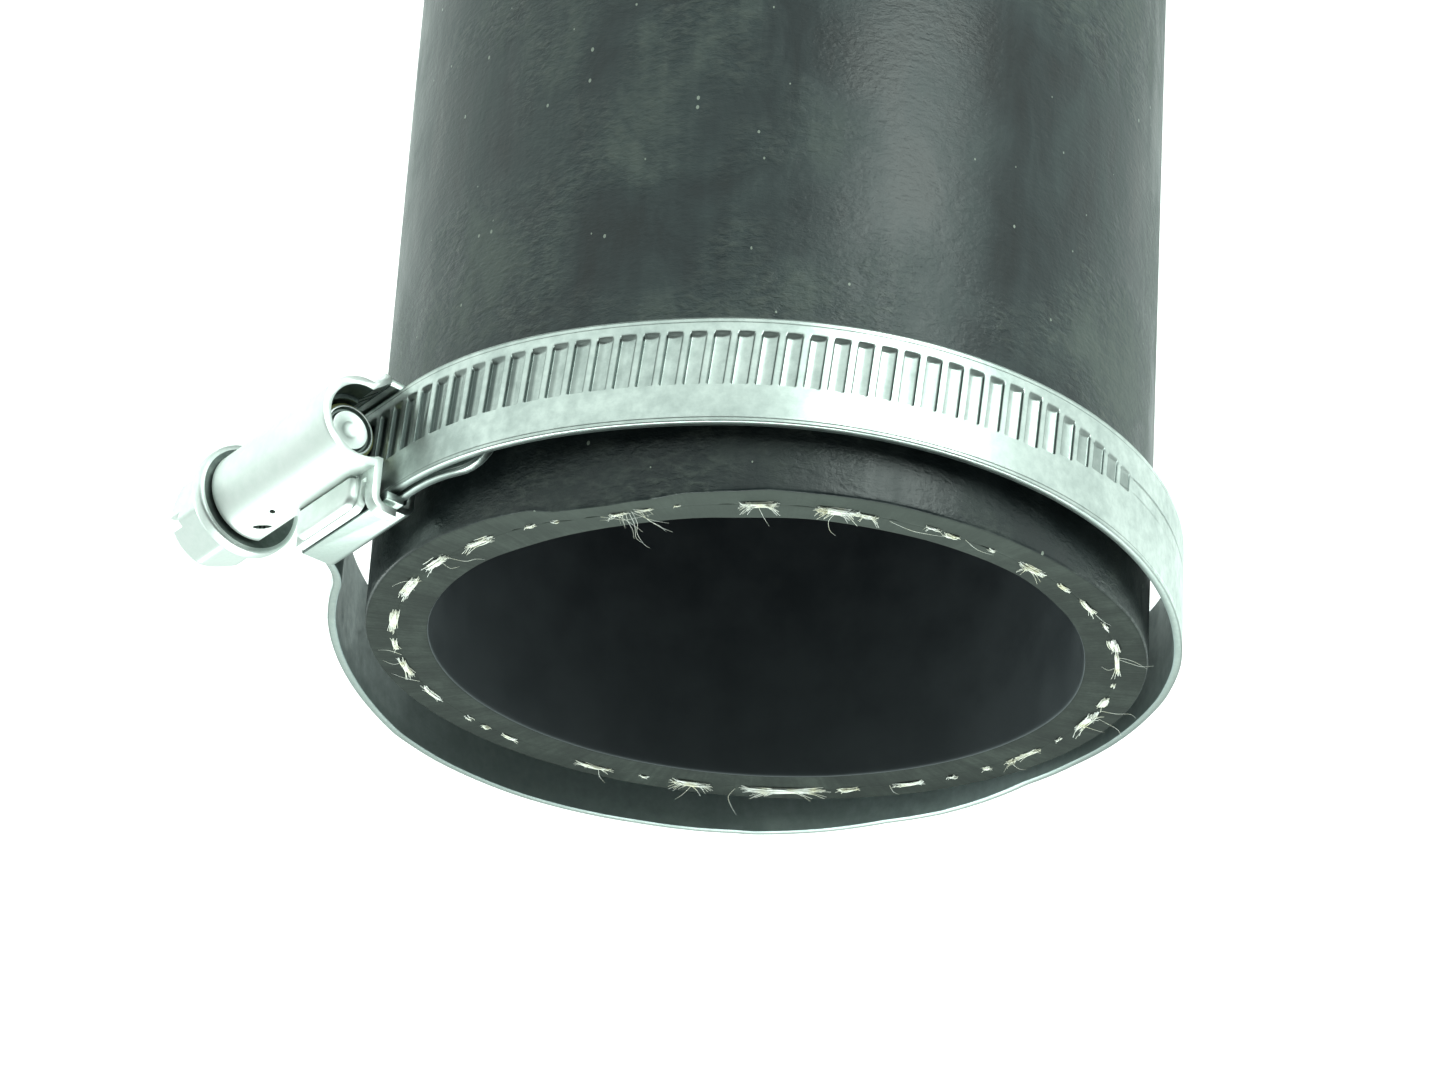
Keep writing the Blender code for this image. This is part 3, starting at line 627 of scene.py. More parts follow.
def stray(fibres, points_mm):
    """A loose thread through (angle, radius in mm, height in mm) points, smoothed."""
    keys = [on_face(a, r * MM) + Vector((0, 0, z * MM)) for a, r, z in points_mm]
    keys = [keys[0], *keys, keys[-1]]
    smooth = []
    for before, here, after, beyond in zip(keys, keys[1:], keys[2:], keys[3:]):
        square = 2 * before - 5 * here + 4 * after - beyond
        cube = 3 * here - before - 3 * after + beyond
        for t in (0.0, 0.2, 0.4, 0.6, 0.8):
            smooth.append(0.5 * (2 * here + (after - before) * t + square * t ** 2 + cube * t ** 3))
    smooth.append(keys[-1])
    fibres.tube(smooth, 0.019 * MM, tip=0.3, root=1.0)


# start, end, shift out from the ply in mm, thickness in mm, fibres, standing height in mm, sideways fan in mm
TUFTS = [
    (3.6, 5.6, 0, 0.26, 7, 0.3, 0.1), (9.5, 14.5, 0, 0.38, 20, 0.6, 0.2), (15.5, 24.8, 0, 0.4, 26, 0.8, 0.35),
    (28.7, 30.6, 0, 0.26, 7, 0.3, 0.1), (34.5, 42, 0.05, 0.3, 15, 0.5, 0.15),
    (41, 43.5, 0.2, 0.3, 8, 0.9, 0.3), (46.6, 48.6, 0.05, 0.32, 10, 0.3, 0.1),
    (54, 55.9, 0.1, 0.28, 8, 0.3, 0.1), (60, 66.6, 0.1, 0.26, 14, 0.4, 0.1),
    (71.9, 76, 0.2, 0.28, 14, 0.35, 0.15), (77.5, 92, 0.25, 0.5, 60, 0.8, 0.3),
    (97, 104.3, 0.25, 0.55, 40, 0.95, 0.35), (107.7, 109.5, 0.2, 0.28, 9, 0.3, 0.1),
    (114, 121.3, 0.35, 0.34, 20, 0.55, 0.2), (133, 137, 0.15, 0.3, 12, 0.3, 0.1),
    (139.6, 141.5, 0.15, 0.26, 8, 0.2, 0.1), (143.7, 146, 0.15, 0.26, 8, 0.25, 0.1),
    (152.5, 159.5, 0.15, 0.28, 14, 0.5, 0.25), (163.5, 171.2, 0.2, 0.42, 28, 0.6, 0.25),
    (174, 178.8, 0.2, 0.34, 16, 0.4, 0.2), (182.5, 190.3, 0.2, 0.48, 34, 0.6, 0.2),
    (196, 204.5, 0.1, 0.48, 34, 0.6, 0.2), (207.5, 214.3, 0.1, 0.46, 34, 0.7, 0.25),
    (219, 226.5, 0, 0.4, 28, 0.7, 0.25), (232.2, 234.6, 0.05, 0.28, 10, 0.3, 0.1),
    (237, 239, 0.1, 0.2, 6, 0.2, 0.1), (247, 250.5, 0.1, 0.3, 12, 0.9, 0.4),
    (251.5, 254.5, 0.2, 0.26, 9, 0.7, 0.3), (257.5, 258.6, 0.2, 0.2, 4, 0.2, 0.1),
    (267.2, 273.3, 0.05, 0.5, 44, 0.8, 0.3), (278.6, 285.5, 0, 0.52, 50, 0.9, 0.35),
    (285, 288.6, -0.1, 0.32, 18, 0.7, 0.2), (295.3, 298.5, 0.3, 0.28, 12, 0.5, 0.2),
    (299, 302, 0.1, 0.3, 14, 0.5, 0.25), (307.3, 308.9, 0, 0.24, 8, 0.3, 0.1),
    (313.8, 320.4, 0, 0.42, 30, 0.7, 0.3), (323.2, 327, 0, 0.3, 13, 0.3, 0.1),
    (330.2, 336, 0.1, 0.32, 18, 0.45, 0.2), (339.2, 342.3, 0.1, 0.32, 12, 0.3, 0.1),
    (346.2, 350.9, 0.05, 0.46, 26, 0.4, 0.2), (351.3, 360.3, 0, 0.3, 18, 0.6, 0.3),
]

STRAYS = [
    # fringe hanging towards the bore at the near side
    [(250, 28.2, 0), (250, 27.6, 0.5), (250.4, 27, 1.1), (250.2, 26.4, 1.6)],
    [(251, 28.3, 0), (251.4, 27.4, 0.7), (251, 26.8, 1.3), (251.6, 26, 1.9), (252.2, 25.4, 2)],
    [(252, 28.3, 0.1), (253.5, 27.6, 0.7), (255, 27, 1.1), (256.5, 26.3, 1.3)],
    [(251, 28.4, 0.1), (254, 28, 0.8), (256.5, 27.4, 1)],
    [(246, 28.2, 0.1), (248.5, 28.6, 0.5), (250.5, 28.4, 0.7), (254.5, 28.7, 0.6)],
    [(249.5, 28.2, 0.1), (249.2, 27.5, 0.5), (249, 26.9, 0.8)],
    [(250.6, 28.2, 0.1), (250.9, 27.3, 0.8), (250.6, 26.5, 1.5), (251.1, 25.9, 1.7)],
    [(248, 28.3, 0.1), (249.5, 27.9, 0.4), (251, 27.2, 0.9), (251.8, 26.6, 1.2)],
    [(252.5, 28.3, 0.1), (253.2, 27.5, 0.6), (254.6, 26.9, 0.9), (255.4, 26.2, 1.2)],
    [(248.8, 28.2, 0), (247.6, 27.9, 0.3), (246, 28.3, 0.4)],
    # right side
    [(353.5, 28.2, 0.1), (353, 29, 0.5), (354, 30, 0.6), (354.5, 30.9, 0.4)],
    [(353, 28.1, 0.1), (351, 28.8, 0.6), (351.5, 29.6, 0.8), (353.5, 30.4, 0.9)],
    [(357, 28.2, 0), (355.5, 27.4, 0.6), (353.5, 26.9, 0.7)],
    [(15, 28.3, 0.1), (12.5, 29.2, 0.7), (11.5, 30.2, 0.8), (13.5, 31, 0.6)],
    [(18, 28.2, 0), (16.5, 29, 0.7), (17, 30.1, 1), (19.5, 31, 0.9)],
    [(22, 28.1, 0.1), (20.5, 28.9, 0.6), (20, 29.7, 0.8)],
    # far side: the long thread
    [(93, 28.3, 0.1), (94, 29, 0.6), (93.4, 30, 1), (92.4, 31.3, 1.3)],
    [(100, 28.3, 0), (101.5, 29, 0.8), (102.5, 29.6, 1.1)],
    [(117, 28.2, 0), (116, 28.9, 0.6), (114.5, 29.5, 0.8)],
    [(42.5, 28.2, 0), (42, 28.9, 0.5), (41, 29.5, 0.6)],
    [(66.5, 28.2, 0), (66.2, 28.7, 0.4), (65.5, 29.1, 0.5)],
    # left side
    [(161, 28.2, 0), (164, 28.9, 0.3), (166.5, 29.6, 0.4)],
    [(172, 28.1, 0), (175.5, 28.8, 0.4), (176, 29.6, 0.5)],
    [(170, 28, 0.1), (170.5, 28.8, 0.5), (172.5, 29.5, 0.6)],
    [(214, 28.1, 0.1), (216.5, 27.2, 0.5), (219, 27, 0.6), (220, 26.5, 0.6)],
    [(212, 28.1, 0.1), (212.5, 27.3, 0.5), (215, 27.2, 0.7)],
    [(203, 28.1, 0.1), (202.5, 29, 0.3), (200, 29.5, 0.3)],
    # near side, right of the middle
    [(270, 28.1, 0.1), (271, 27.3, 0.7), (272, 26.6, 1.1)],
    [(282, 28.1, 0.1), (281, 27.4, 0.6), (281.6, 26.6, 1), (282.8, 26.1, 1.1)],
    [(290, 28.2, 0.2), (293, 28.7, 0.8), (295.5, 29.2, 1), (298, 29.3, 0.9)],
    [(303, 28.1, 0), (305.5, 28, 0.4), (308.5, 28.1, 0.4)],
    [(336, 28.1, 0), (338, 28.5, 0.3), (339.5, 28.8, 0.3)],
]


def build_yarn():
    fibres = Fibres()
    for tuft in TUFTS:
        bundle(fibres, *tuft)
    for points in STRAYS:
        stray(fibres, points)
    item = piece("yarn_tufts", fibres.verts, fibres.faces, [YARN], "yarn", CLAMPED)
    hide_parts("textile_ply")


build_yarn()


# ---------------- clamp band


def polar(radius, angle):
    return Vector((radius * math.sin(angle), radius * math.cos(angle)))


def settle_radius(angle, start):
    share = min(abs(angle) / math.radians(SETTLE_DEG), 1.0)
    return BAND_MID_RADIUS + (start - BAND_MID_RADIUS) * (0.5 + 0.5 * math.cos(math.pi * share))


def round_corner(before, corner, after, radius, steps):
    inward = (before - corner).normalized()
    outward = (after - corner).normalized()
    half = inward.angle(outward) / 2
    bisector = (inward + outward).normalized()
    center = corner + bisector * (radius / math.sin(half))
    start = corner + inward * (radius / math.tan(half)) - center
    end = corner + outward * (radius / math.tan(half)) - center
    turn = math.atan2(start.x * end.y - start.y * end.x, start.dot(end))
    points = []
    for k in range(steps + 1):
        cos_a = math.cos(turn * k / steps)
        sin_a = math.sin(turn * k / steps)
        points.append(center + Vector((start.x * cos_a - start.y * sin_a, start.x * sin_a + start.y * cos_a)))
    return points


ROUTE_STEP_DEG = 0.75
BULGE_STEPS = 16
CORNER_STEPS = 14


def band_route():
    """The CAD band's centre line, with finer steps."""
    step = math.radians(ROUTE_STEP_DEG)
    reach = math.radians(TONGUE_REACH_DEG)
    tongue = []
    count = math.ceil(reach / step)
    for k in range(count):
        angle = reach * (1 - k / count)
        tongue.append(polar(settle_radius(angle, OUTER_LAYER) + INNER_LAYER - OUTER_LAYER, angle))
    corner = Vector((SADDLE_REAR - CORNER_PAST_SADDLE, INNER_LAYER))
    corner_angle = math.atan2(corner.x, corner.y)
    bulge_start = -math.radians(BULGE_START_DEG)
    bulge = []
    for k in range(4, BULGE_STEPS + 1):
        share = 1 - k / BULGE_STEPS
        angle = bulge_start + (corner_angle - bulge_start) * share
        bulge.append(polar(BAND_MID_RADIUS + (corner.length - BAND_MID_RADIUS) * share ** 2, angle))
    bend = round_corner(Vector((0.0, INNER_LAYER)), corner, bulge[0], CORNER_RADIUS, CORNER_STEPS)
    full_turn = -2 * math.pi
    count = math.ceil((bulge_start - full_turn) / step)
    ring = []
    for k in range(1, count + 1):
        angle = bulge_start + (full_turn - bulge_start) * k / count
        ring.append(polar(settle_radius(angle - full_turn, OUTER_LAYER), angle))
    for point in bulge + ring:
        stray_out = by_angle(STRAY_SHAPE, 1, ring_angle(np.array(point)))
        point *= 1 + float(stray_out) * MM / point.length
    straight = [Vector((x * MM, INNER_LAYER)) for x in (0.0, -2.0, -4.0, -6.0, -8.0)]
    tail = [Vector((TAIL_END * k / 12, OUTER_LAYER)) for k in range(1, 13)]
    return tongue + straight + bend + bulge + ring + tail

# How far the loose strip strays from its circle round the back, in mm: (angle as on the hose, outwards,
# along the hose).
STRAY_SHAPE = [
    (0, 0, 0), (10, -0.25, -0.1), (17, -0.6, -0.15), (25, -0.95, -0.2), (35, -1.3, -0.4), (45, -1.4, -0.55),
    (53, -1.1, -0.45), (61, -0.8, -0.4), (70, -0.8, -0.35), (80, -0.35, -0.15), (90, 0, 0), (93, 0, 0),
    (98, 0.25, 0), (107, 0.5, 0.03), (118, 0.8, 0.2), (125, 1, 0.3), (132, 1.1, 0.38), (140, 1.25, 0.45),
    (149, 1.35, 0.45), (156, 1.2, 0.3), (164, 1.05, 0.2), (172, 0.95, 0.1), (180, 0.85, 0), (188, 0.6, 0),
    (193, 0.28, 0), (197, 0, 0), (360, 0, 0),
]
# Painted shade on the strip's inside and on its rolled edge, by the same angle: (angle, inside, edge).
BAND_SHADE_BY_ANGLE = [
    (0, 0.5, 0.5), (20, 0.7, 0.7), (32, 0.6, 0.75), (42, 0.25, 0.7), (52, 0, 0.6), (68, 0, 0.55),
    (82, 0.3, 0.55), (110, 0.5, 0.6), (128, 0.72, 0.65), (150, 0.78, 0.65), (180, 0.55, 0.6), (200, 0.6, 0.5),
    (217, 0.85, 0.1), (330, 0.85, 0.05), (350, 0.6, 0.3), (360, 0.5, 0.5),
]
# Where the grooves' far walls are turned away from the light, by the same angle, and how dark they are.
TURNED_FROM_DEG = 256.0
TURNED_OVER_DEG = 24.0
TURNED_UNTIL_DEG = 205.0
TURNED_SHADE = 0.95
# The hose's angle where the clamp frame's second axis points.
RING_START_DEG = math.degrees(HOUSING_TURN) - 15.4


def ring_angle(points):
    """The clamp frame's directions as the hose's angles, in degrees."""
    return (RING_START_DEG + np.degrees(np.arctan2(points[..., 0], points[..., 1]))) % 360.0


def by_angle(table, column, angles):
    return np.interp(angles, [row[0] for row in table], [row[column] for row in table])


def smoothstep(x):
    x = np.clip(x, 0.0, 1.0)
    return x * x * (3 - 2 * x)


# Length and depth shares of the last grooves, counted from the last one.
GROOVE_TAIL = [(0.40, 0.45), (0.48, 0.6), (0.56, 0.75), (0.66, 0.85), (0.78, 0.95), (0.9, 1.0)]
# Rows across one groove, as distances from its middle in mm; the photo's left is positive.
GROOVE_ROWS = [
    -0.72, -0.625, -0.6, -0.575, -0.54, -0.45, -0.32, -0.2, -0.08, 0.04, 0.16, 0.28, 0.4, 0.49, 0.54, 0.57, 0.6,
    0.625, 0.72,
]
GROOVE_HALF_WIDTH = 0.62 * MM
# Shares of painted shade in the hollows of the last grooves.
GROOVE_HOLLOW_SHADE = (0.5, 0.5, 0.45, 0.35, 0.2)
# Rows near a rounded end of the strip, as distances from it in mm.
END_ROWS = (0.0, 0.04, 0.12, 0.3, 0.6, 1.0, 1.5, 2.1)
# A little thinner than the CAD's strip, so that it stays in the CAD's box.
STRIP_HALF = BAND_THICKNESS / 2 - 0.005 * MM
EDGE_ROLL = 0.15 * MM
# How far before and behind a row the strip's direction is read.
AIM_REACH = 0.35 * MM
# For the side away from the cut (-1) and the side towards it (1), in mm: the scribed line's distance from the
# edge, the columns round a groove's end, and the end's slope, the painted shade spot on the end, its reach and its
# darkness.
EDGE_LINE = {-1: 0.45, 1: 0.34}
GROOVE_END_COLUMNS = {
    -1: (0.16, 0.03, -0.04, -0.12, -0.22, -0.34, -0.45),
    1: (0.16, 0.03, -0.01, -0.05, -0.1, -0.16, -0.3),
}
GROOVE_ENDS = {-1: (0.42, 0.14, 0.22, 0.42), 1: (0.13, 0.04, 0.07, 0.85)}


def groove_profile(local):
    """Depth share across a groove: steep walls and a hollow floor that is deepest left of its middle."""
    walls = smoothstep((GROOVE_HALF_WIDTH - np.abs(local)) / (0.07 * MM))
    left = np.clip((local - 0.12 * MM) / (0.45 * MM), 0.0, 1.0)
    right = np.clip((0.12 * MM - local) / (0.66 * MM), 0.0, 1.0)
    return walls * (1.0 - 0.22 * left ** 1.5 - 0.45 * right ** 1.4)


def strip_rows(total):
    """Rows along the strip: distance along it, distance from a groove's middle, groove number."""
    first_groove = total - BAND_END_RADIUS - GROOVE_PITCH * (GROOVE_COUNT - 1) - 1.3 * MM
    rows = [(x * MM, None, 0) for x in (*END_ROWS, 2.8)]
    rows += [(x, None, 0) for x in np.arange(3.5 * MM, first_groove, 0.45 * MM)]
    for k in range(GROOVE_COUNT - 1, -1, -1):
        middle = total - BAND_END_RADIUS - GROOVE_PITCH * k
        rows += [(middle + x * MM, x * MM, k) for x in GROOVE_ROWS if k > 0 or x < 0.7]
    return rows + [(total - x * MM, None, 0) for x in (2.6, *END_ROWS[::-1])]


def strip_section():
    """Columns round the strip: (height over its middle, side, anchor, distance). Anchor "edge" is measured from
    the long edge in mm, "end" from a groove's end in mm, "share" as a share of half a groove, and "plain" as a
    share of half the width."""
    section = []
    for side in (-1, 1):
        line = EDGE_LINE[side]
        near = [("edge", x) for x in (0.15, 0.22, line - 0.05, line, line + 0.05, line + 0.11)]
        near += [("end", x) for x in GROOVE_END_COLUMNS[side]]
        near += [("share", x) for x in (0.75, 0.45, 0.15)]
        section += [(STRIP_HALF, side, anchor, x) for anchor, x in near[::-side]]
    rolled = []
    for k in range(1, 5):
        a = math.pi / 2 * k / 5
        rolled.append((STRIP_HALF - EDGE_ROLL * (1 - math.cos(a)), 0.15 * (1 - math.sin(a))))
    rolled += [(STRIP_HALF - EDGE_ROLL, 0.0), (0.12 * MM - STRIP_HALF, 0.0)]
    rolled += [(0.03 * MM - STRIP_HALF, 0.03), (-STRIP_HALF, 0.13)]
    section += [(level, 1, "edge", x) for level, x in rolled]
    section += [(-STRIP_HALF, 1, "plain", x) for x in (0.7, 0.35, 0.0, -0.35, -0.7)]
    return section + [(level, -1, "edge", x) for level, x in reversed(rolled)]


def build_band():
    route = np.array([(p.x, p.y) for p in band_route()])
    lengths = np.concatenate([[0.0], np.cumsum(np.hypot(*np.diff(route, axis=0).T))])
    total = lengths[-1]
    rows = strip_rows(total)
    q = np.array([row[0] for row in rows])
    local_of = np.array([-1.0 if row[1] is None else row[1] for row in rows])
    count = len(rows)
    depth = np.zeros(count)
    length = np.full(count, GROOVE_LENGTH * GROOVE_TAIL[0][0])
    slant = np.zeros(count)
    own_depth = np.full(count, GROOVE_DEPTH)
    hollow_shade = np.zeros(count)
    for i, (_, local, k) in enumerate(rows):
        if local is None:
            continue
        from_last = GROOVE_COUNT - 1 - k
        length_share, depth_share = GROOVE_TAIL[from_last] if from_last < len(GROOVE_TAIL) else (1.0, 1.0)
        own_depth[i] = GROOVE_DEPTH * depth_share
        depth[i] = own_depth[i] * groove_profile(local)
        length[i] = GROOVE_LENGTH * length_share
        slant[i] = GROOVE_SLANT
        # Painted shade in the hollows of the last grooves.
        if from_last < len(GROOVE_HOLLOW_SHADE) and abs(local) < 0.55 * MM:
            hollow_shade[i] = GROOVE_HOLLOW_SHADE[from_last]
    length[q > total - 3.2 * MM] = GROOVE_LENGTH

    def at(distance):
        distance = np.clip(distance, 0.0, total)
        return np.stack([np.interp(distance, lengths, route[:, k]) for k in (0, 1)], axis=1)

    end_distance = np.minimum(q, total - q)
    short = np.clip(BAND_END_RADIUS - end_distance, 0.0, BAND_END_RADIUS)
    half_width = BAND_WIDTH / 2 - BAND_END_RADIUS + np.sqrt(np.maximum(BAND_END_RADIUS ** 2 - short ** 2, 0.0))
    squeeze = half_width / (BAND_WIDTH / 2)
    tongue_reach = math.radians(TONGUE_REACH_DEG) * BAND_MID_RADIUS
    skew = TONGUE_SKEW * np.clip(1.0 - q / tongue_reach, 0.0, 1.0) ** 2

    # Painted shade on the grooves' walls, and at the left as the camera sees it also on the wall that is turned
    # away.
    slope = np.abs(np.gradient(depth, q)) * GROOVE_DEPTH / own_depth
    angle = ring_angle(at(q))
    turned = np.clip((TURNED_FROM_DEG - angle) / TURNED_OVER_DEG, 0, 1) * (angle > TURNED_UNTIL_DEG)
    far_wall = TURNED_SHADE * turned * smoothstep((local_of - 0.1 * MM) / (0.12 * MM)) * (local_of < 0.6 * MM)
    walls = np.maximum(np.maximum(np.clip(slope / 2.2, 0, 1), hollow_shade), far_wall)

    section = strip_section()
    columns = len(section)
    grid = np.zeros((count, columns, 3))
    uv = np.zeros((count, columns, 2))
    shade = np.zeros((count, columns))
    for j, (offset, side, anchor, x) in enumerate(section):
        if anchor == "edge":
            z = side * (half_width - x * MM * squeeze)
        elif anchor == "end":
            z = (GROOVE_SHIFT + side * (length / 2 + x * MM)) * squeeze
        elif anchor == "share":
            z = (GROOVE_SHIFT + side * (length / 2) * x) * squeeze
        else:
            z = x * half_width
        level = np.full(count, offset)
        end_slope, dark_at, dark_reach, darkness = GROOVE_ENDS[side]
        if anchor in ("end", "share"):
            inside_by = length / 2 - np.abs(z - GROOVE_SHIFT)
            ends = smoothstep((inside_by + 0.03 * MM) / (end_slope * MM))
            level = level - depth * ends
            shade[:, j] = walls * ends
        if anchor == "end":
            # Painted shade in a band across the groove's end.
            at_end = np.clip(1 - np.abs(inside_by - dark_at * MM) / (dark_reach * MM), 0, 1) * darkness
            shade[:, j] = np.maximum(shade[:, j], at_end * np.clip(depth / own_depth, 0, 1))
        if anchor == "edge" and offset == STRIP_HALF:
            level = level - 0.06 * MM * np.clip(1 - x / EDGE_LINE[side], 0, 1)
            if x == EDGE_LINE[side]:
                # The scribed line is a little deeper and carries painted shade.
                level = level - 0.03 * MM
                shade[:, j] = 0.55
        d = q + (z - GROOVE_SHIFT) * slant
        center = at(d)
        ahead = at(d + AIM_REACH) - at(d - AIM_REACH)
        ahead /= np.linalg.norm(ahead, axis=1)[:, None]
        outward = np.stack([ahead[:, 1], -ahead[:, 0]], axis=1)
        outward *= np.sign(np.sum(outward * center, axis=1))[:, None]
        angle = ring_angle(center)
        # Painted shade on the strip's inside and on its rolled edge, by angle.
        if offset < 0:
            shade[:, j] = by_angle(BAND_SHADE_BY_ANGLE, 1, angle)
        elif anchor == "edge" and offset < STRIP_HALF:
            shade[:, j] = by_angle(BAND_SHADE_BY_ANGLE, 2, angle)
        grid[:, j, :2] = center + outward * level[:, None]
        grid[:, j, 2] = z + skew + by_angle(STRAY_SHAPE, 2, angle) * MM
        uv[:, j, 0] = d
        uv[:, j, 1] = z + offset
    faces = grid_faces(count, columns)
    inside = [int(section[j][0] < 0 and section[(j + 1) % columns][0] < 0) for j in range(columns)]
    kinds = inside * (count - 1) + [0, 0]
    faces.append(list(range(columns)))
    faces.append(list(reversed(range((count - 1) * columns, count * columns))))
    item = piece("band_strip", grid.reshape(-1, 3), faces, [BAND_ZINC, BAND_INSIDE], "band_steel", CLAMPED, CLAMP,
                 sharp=52, face_slots=kinds, uv=uv.reshape(-1, 2))
    attribute = item.data.attributes.new("shade", "FLOAT", "POINT")
    attribute.data.foreach_set("value", shade.ravel().astype(np.float32))
    rework(item.data, lambda bm: bmesh.ops.recalc_face_normals(bm, faces=bm.faces))
    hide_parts("clamp_band")


build_band()


# ---------------- housing, saddle and screw


def loft(bm, rings):
    rows = [[bm.verts.new(point) for point in ring] for ring in rings]
    for first, second in zip(rows, rows[1:]):
        for k in range(len(first)):
            n = (k + 1) % len(first)
            bm.faces.new((first[k], first[n], second[n], second[k]))
    bm.faces.new(rows[0])
    bm.faces.new(list(reversed(rows[-1])))


def prism(outline, x_from, x_to, steps=1):
    bm = bmesh.new()
    loft(bm, [[(x_from + (x_to - x_from) * k / steps, y, z) for y, z in outline] for k in range(steps + 1)])
    return bm


def arc(center, radius, start, end, steps):
    angles = [start + (end - start) * k / steps for k in range(steps + 1)]
    return [(center[0] + radius * math.cos(a), center[1] + radius * math.sin(a)) for a in angles]


def temporary(name, bm):
    bmesh.ops.recalc_face_normals(bm, faces=bm.faces)
    mesh = bpy.data.meshes.new(name)
    bm.to_mesh(mesh)
    bm.free()
    return link_object(name, mesh)


def carve(item, parts):
    """Applies (operation, bmesh) pairs to the item."""
    tools = []
    for k, (operation, bm) in enumerate(parts):
        modifier = item.modifiers.new(f"step_{k}", "BOOLEAN")
        modifier.operation = operation
        modifier.solver = "EXACT"
        modifier.object = temporary(f"tool_{k}", bm)
        tools.append(modifier.object)
    settle(item, tools)


def settle(item, tools=()):
    """Applies the item's modifiers and removes the objects that they used."""
    bpy.context.view_layer.update()
    graph = bpy.context.evaluated_depsgraph_get()
    mesh = bpy.data.meshes.new_from_object(item.evaluated_get(graph))
    item.modifiers.clear()
    old = item.data
    item.data = mesh
    bpy.data.meshes.remove(old)
    for tool in tools:
        data = tool.data
        bpy.data.objects.remove(tool)
        bpy.data.meshes.remove(data)


def soften(item, width):
    """Rounds the sheet's edges."""
    rework(item.data, lambda bm: bmesh.ops.remove_doubles(bm, verts=bm.verts, dist=1e-6))
    modifier = item.modifiers.new("edges", "BEVEL")
    modifier.width = width
    modifier.segments = 2
    modifier.limit_method = "ANGLE"
    modifier.angle_limit = math.radians(32.0)
    modifier.use_clamp_overlap = True
    modifier.miter_outer = "MITER_ARC"
    settle(item)


def place(item, name, materials, slot, body, node, matrix, kind_of, sharp=38.0):
    """Names, dresses and seats a piece; kind_of picks each face's material in the part's own frame."""
    mesh = item.data
    item.name = name
    mesh.name = name
    kinds = [kind_of(face.center, face.normal) for face in mesh.polygons]
    mesh.transform(matrix)
    dress(item, materials, kinds, sharp, slot, body)
    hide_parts(node)


def corner_rounding(radius, steps):
    """Points of a rounded corner, as (from its end, from its side) distances."""
    angles = [math.pi / 2 * k / steps for k in range(steps + 1)]
    return [(radius * (1 - math.cos(a)), radius * (1 - math.sin(a))) for a in angles]


def foot_cutter(front):
    inner = BARREL_OFFSET + BARREL_OUTER + SEAT_GAP
    edge = WALL_OUTSIDE + FOOT_OVERHANG
    far = edge + SHEET
    ahead = HOUSING_FRONT + SHEET
    outline = [(ahead, inner), (ahead, far), (front - FOOT_CORNER, far)]
    outline += [(front - b, edge - a) for a, b in corner_rounding(FOOT_CORNER, 10)]
    outline.append((front, inner))
    bm = bmesh.new()
    loft(bm, [[(x, y, z) for x, z in outline] for y in (FOOT_BOTTOM - SHEET, FOOT_TOP + SHEET)])
    return bm


# The skirt's foot on the far side, which reaches over the saddle's wall.
SKIRT_REACH = 5.2 * MM
PAD_TOP = 36.72 * MM
PAD_REAR = -10.1 * MM
PAD_SIDE = 5.62 * MM
PAD_CORNER = 0.95 * MM
# The two small holes at the barrel's rear: along the clamp and up from its axis, half axes, and turn in degrees.
BARREL_HOLES = ((-11.43, 38.05, 0.27, 0.22, 0.0), (-13.83, 37.42, 0.78, 0.27, -39.0))


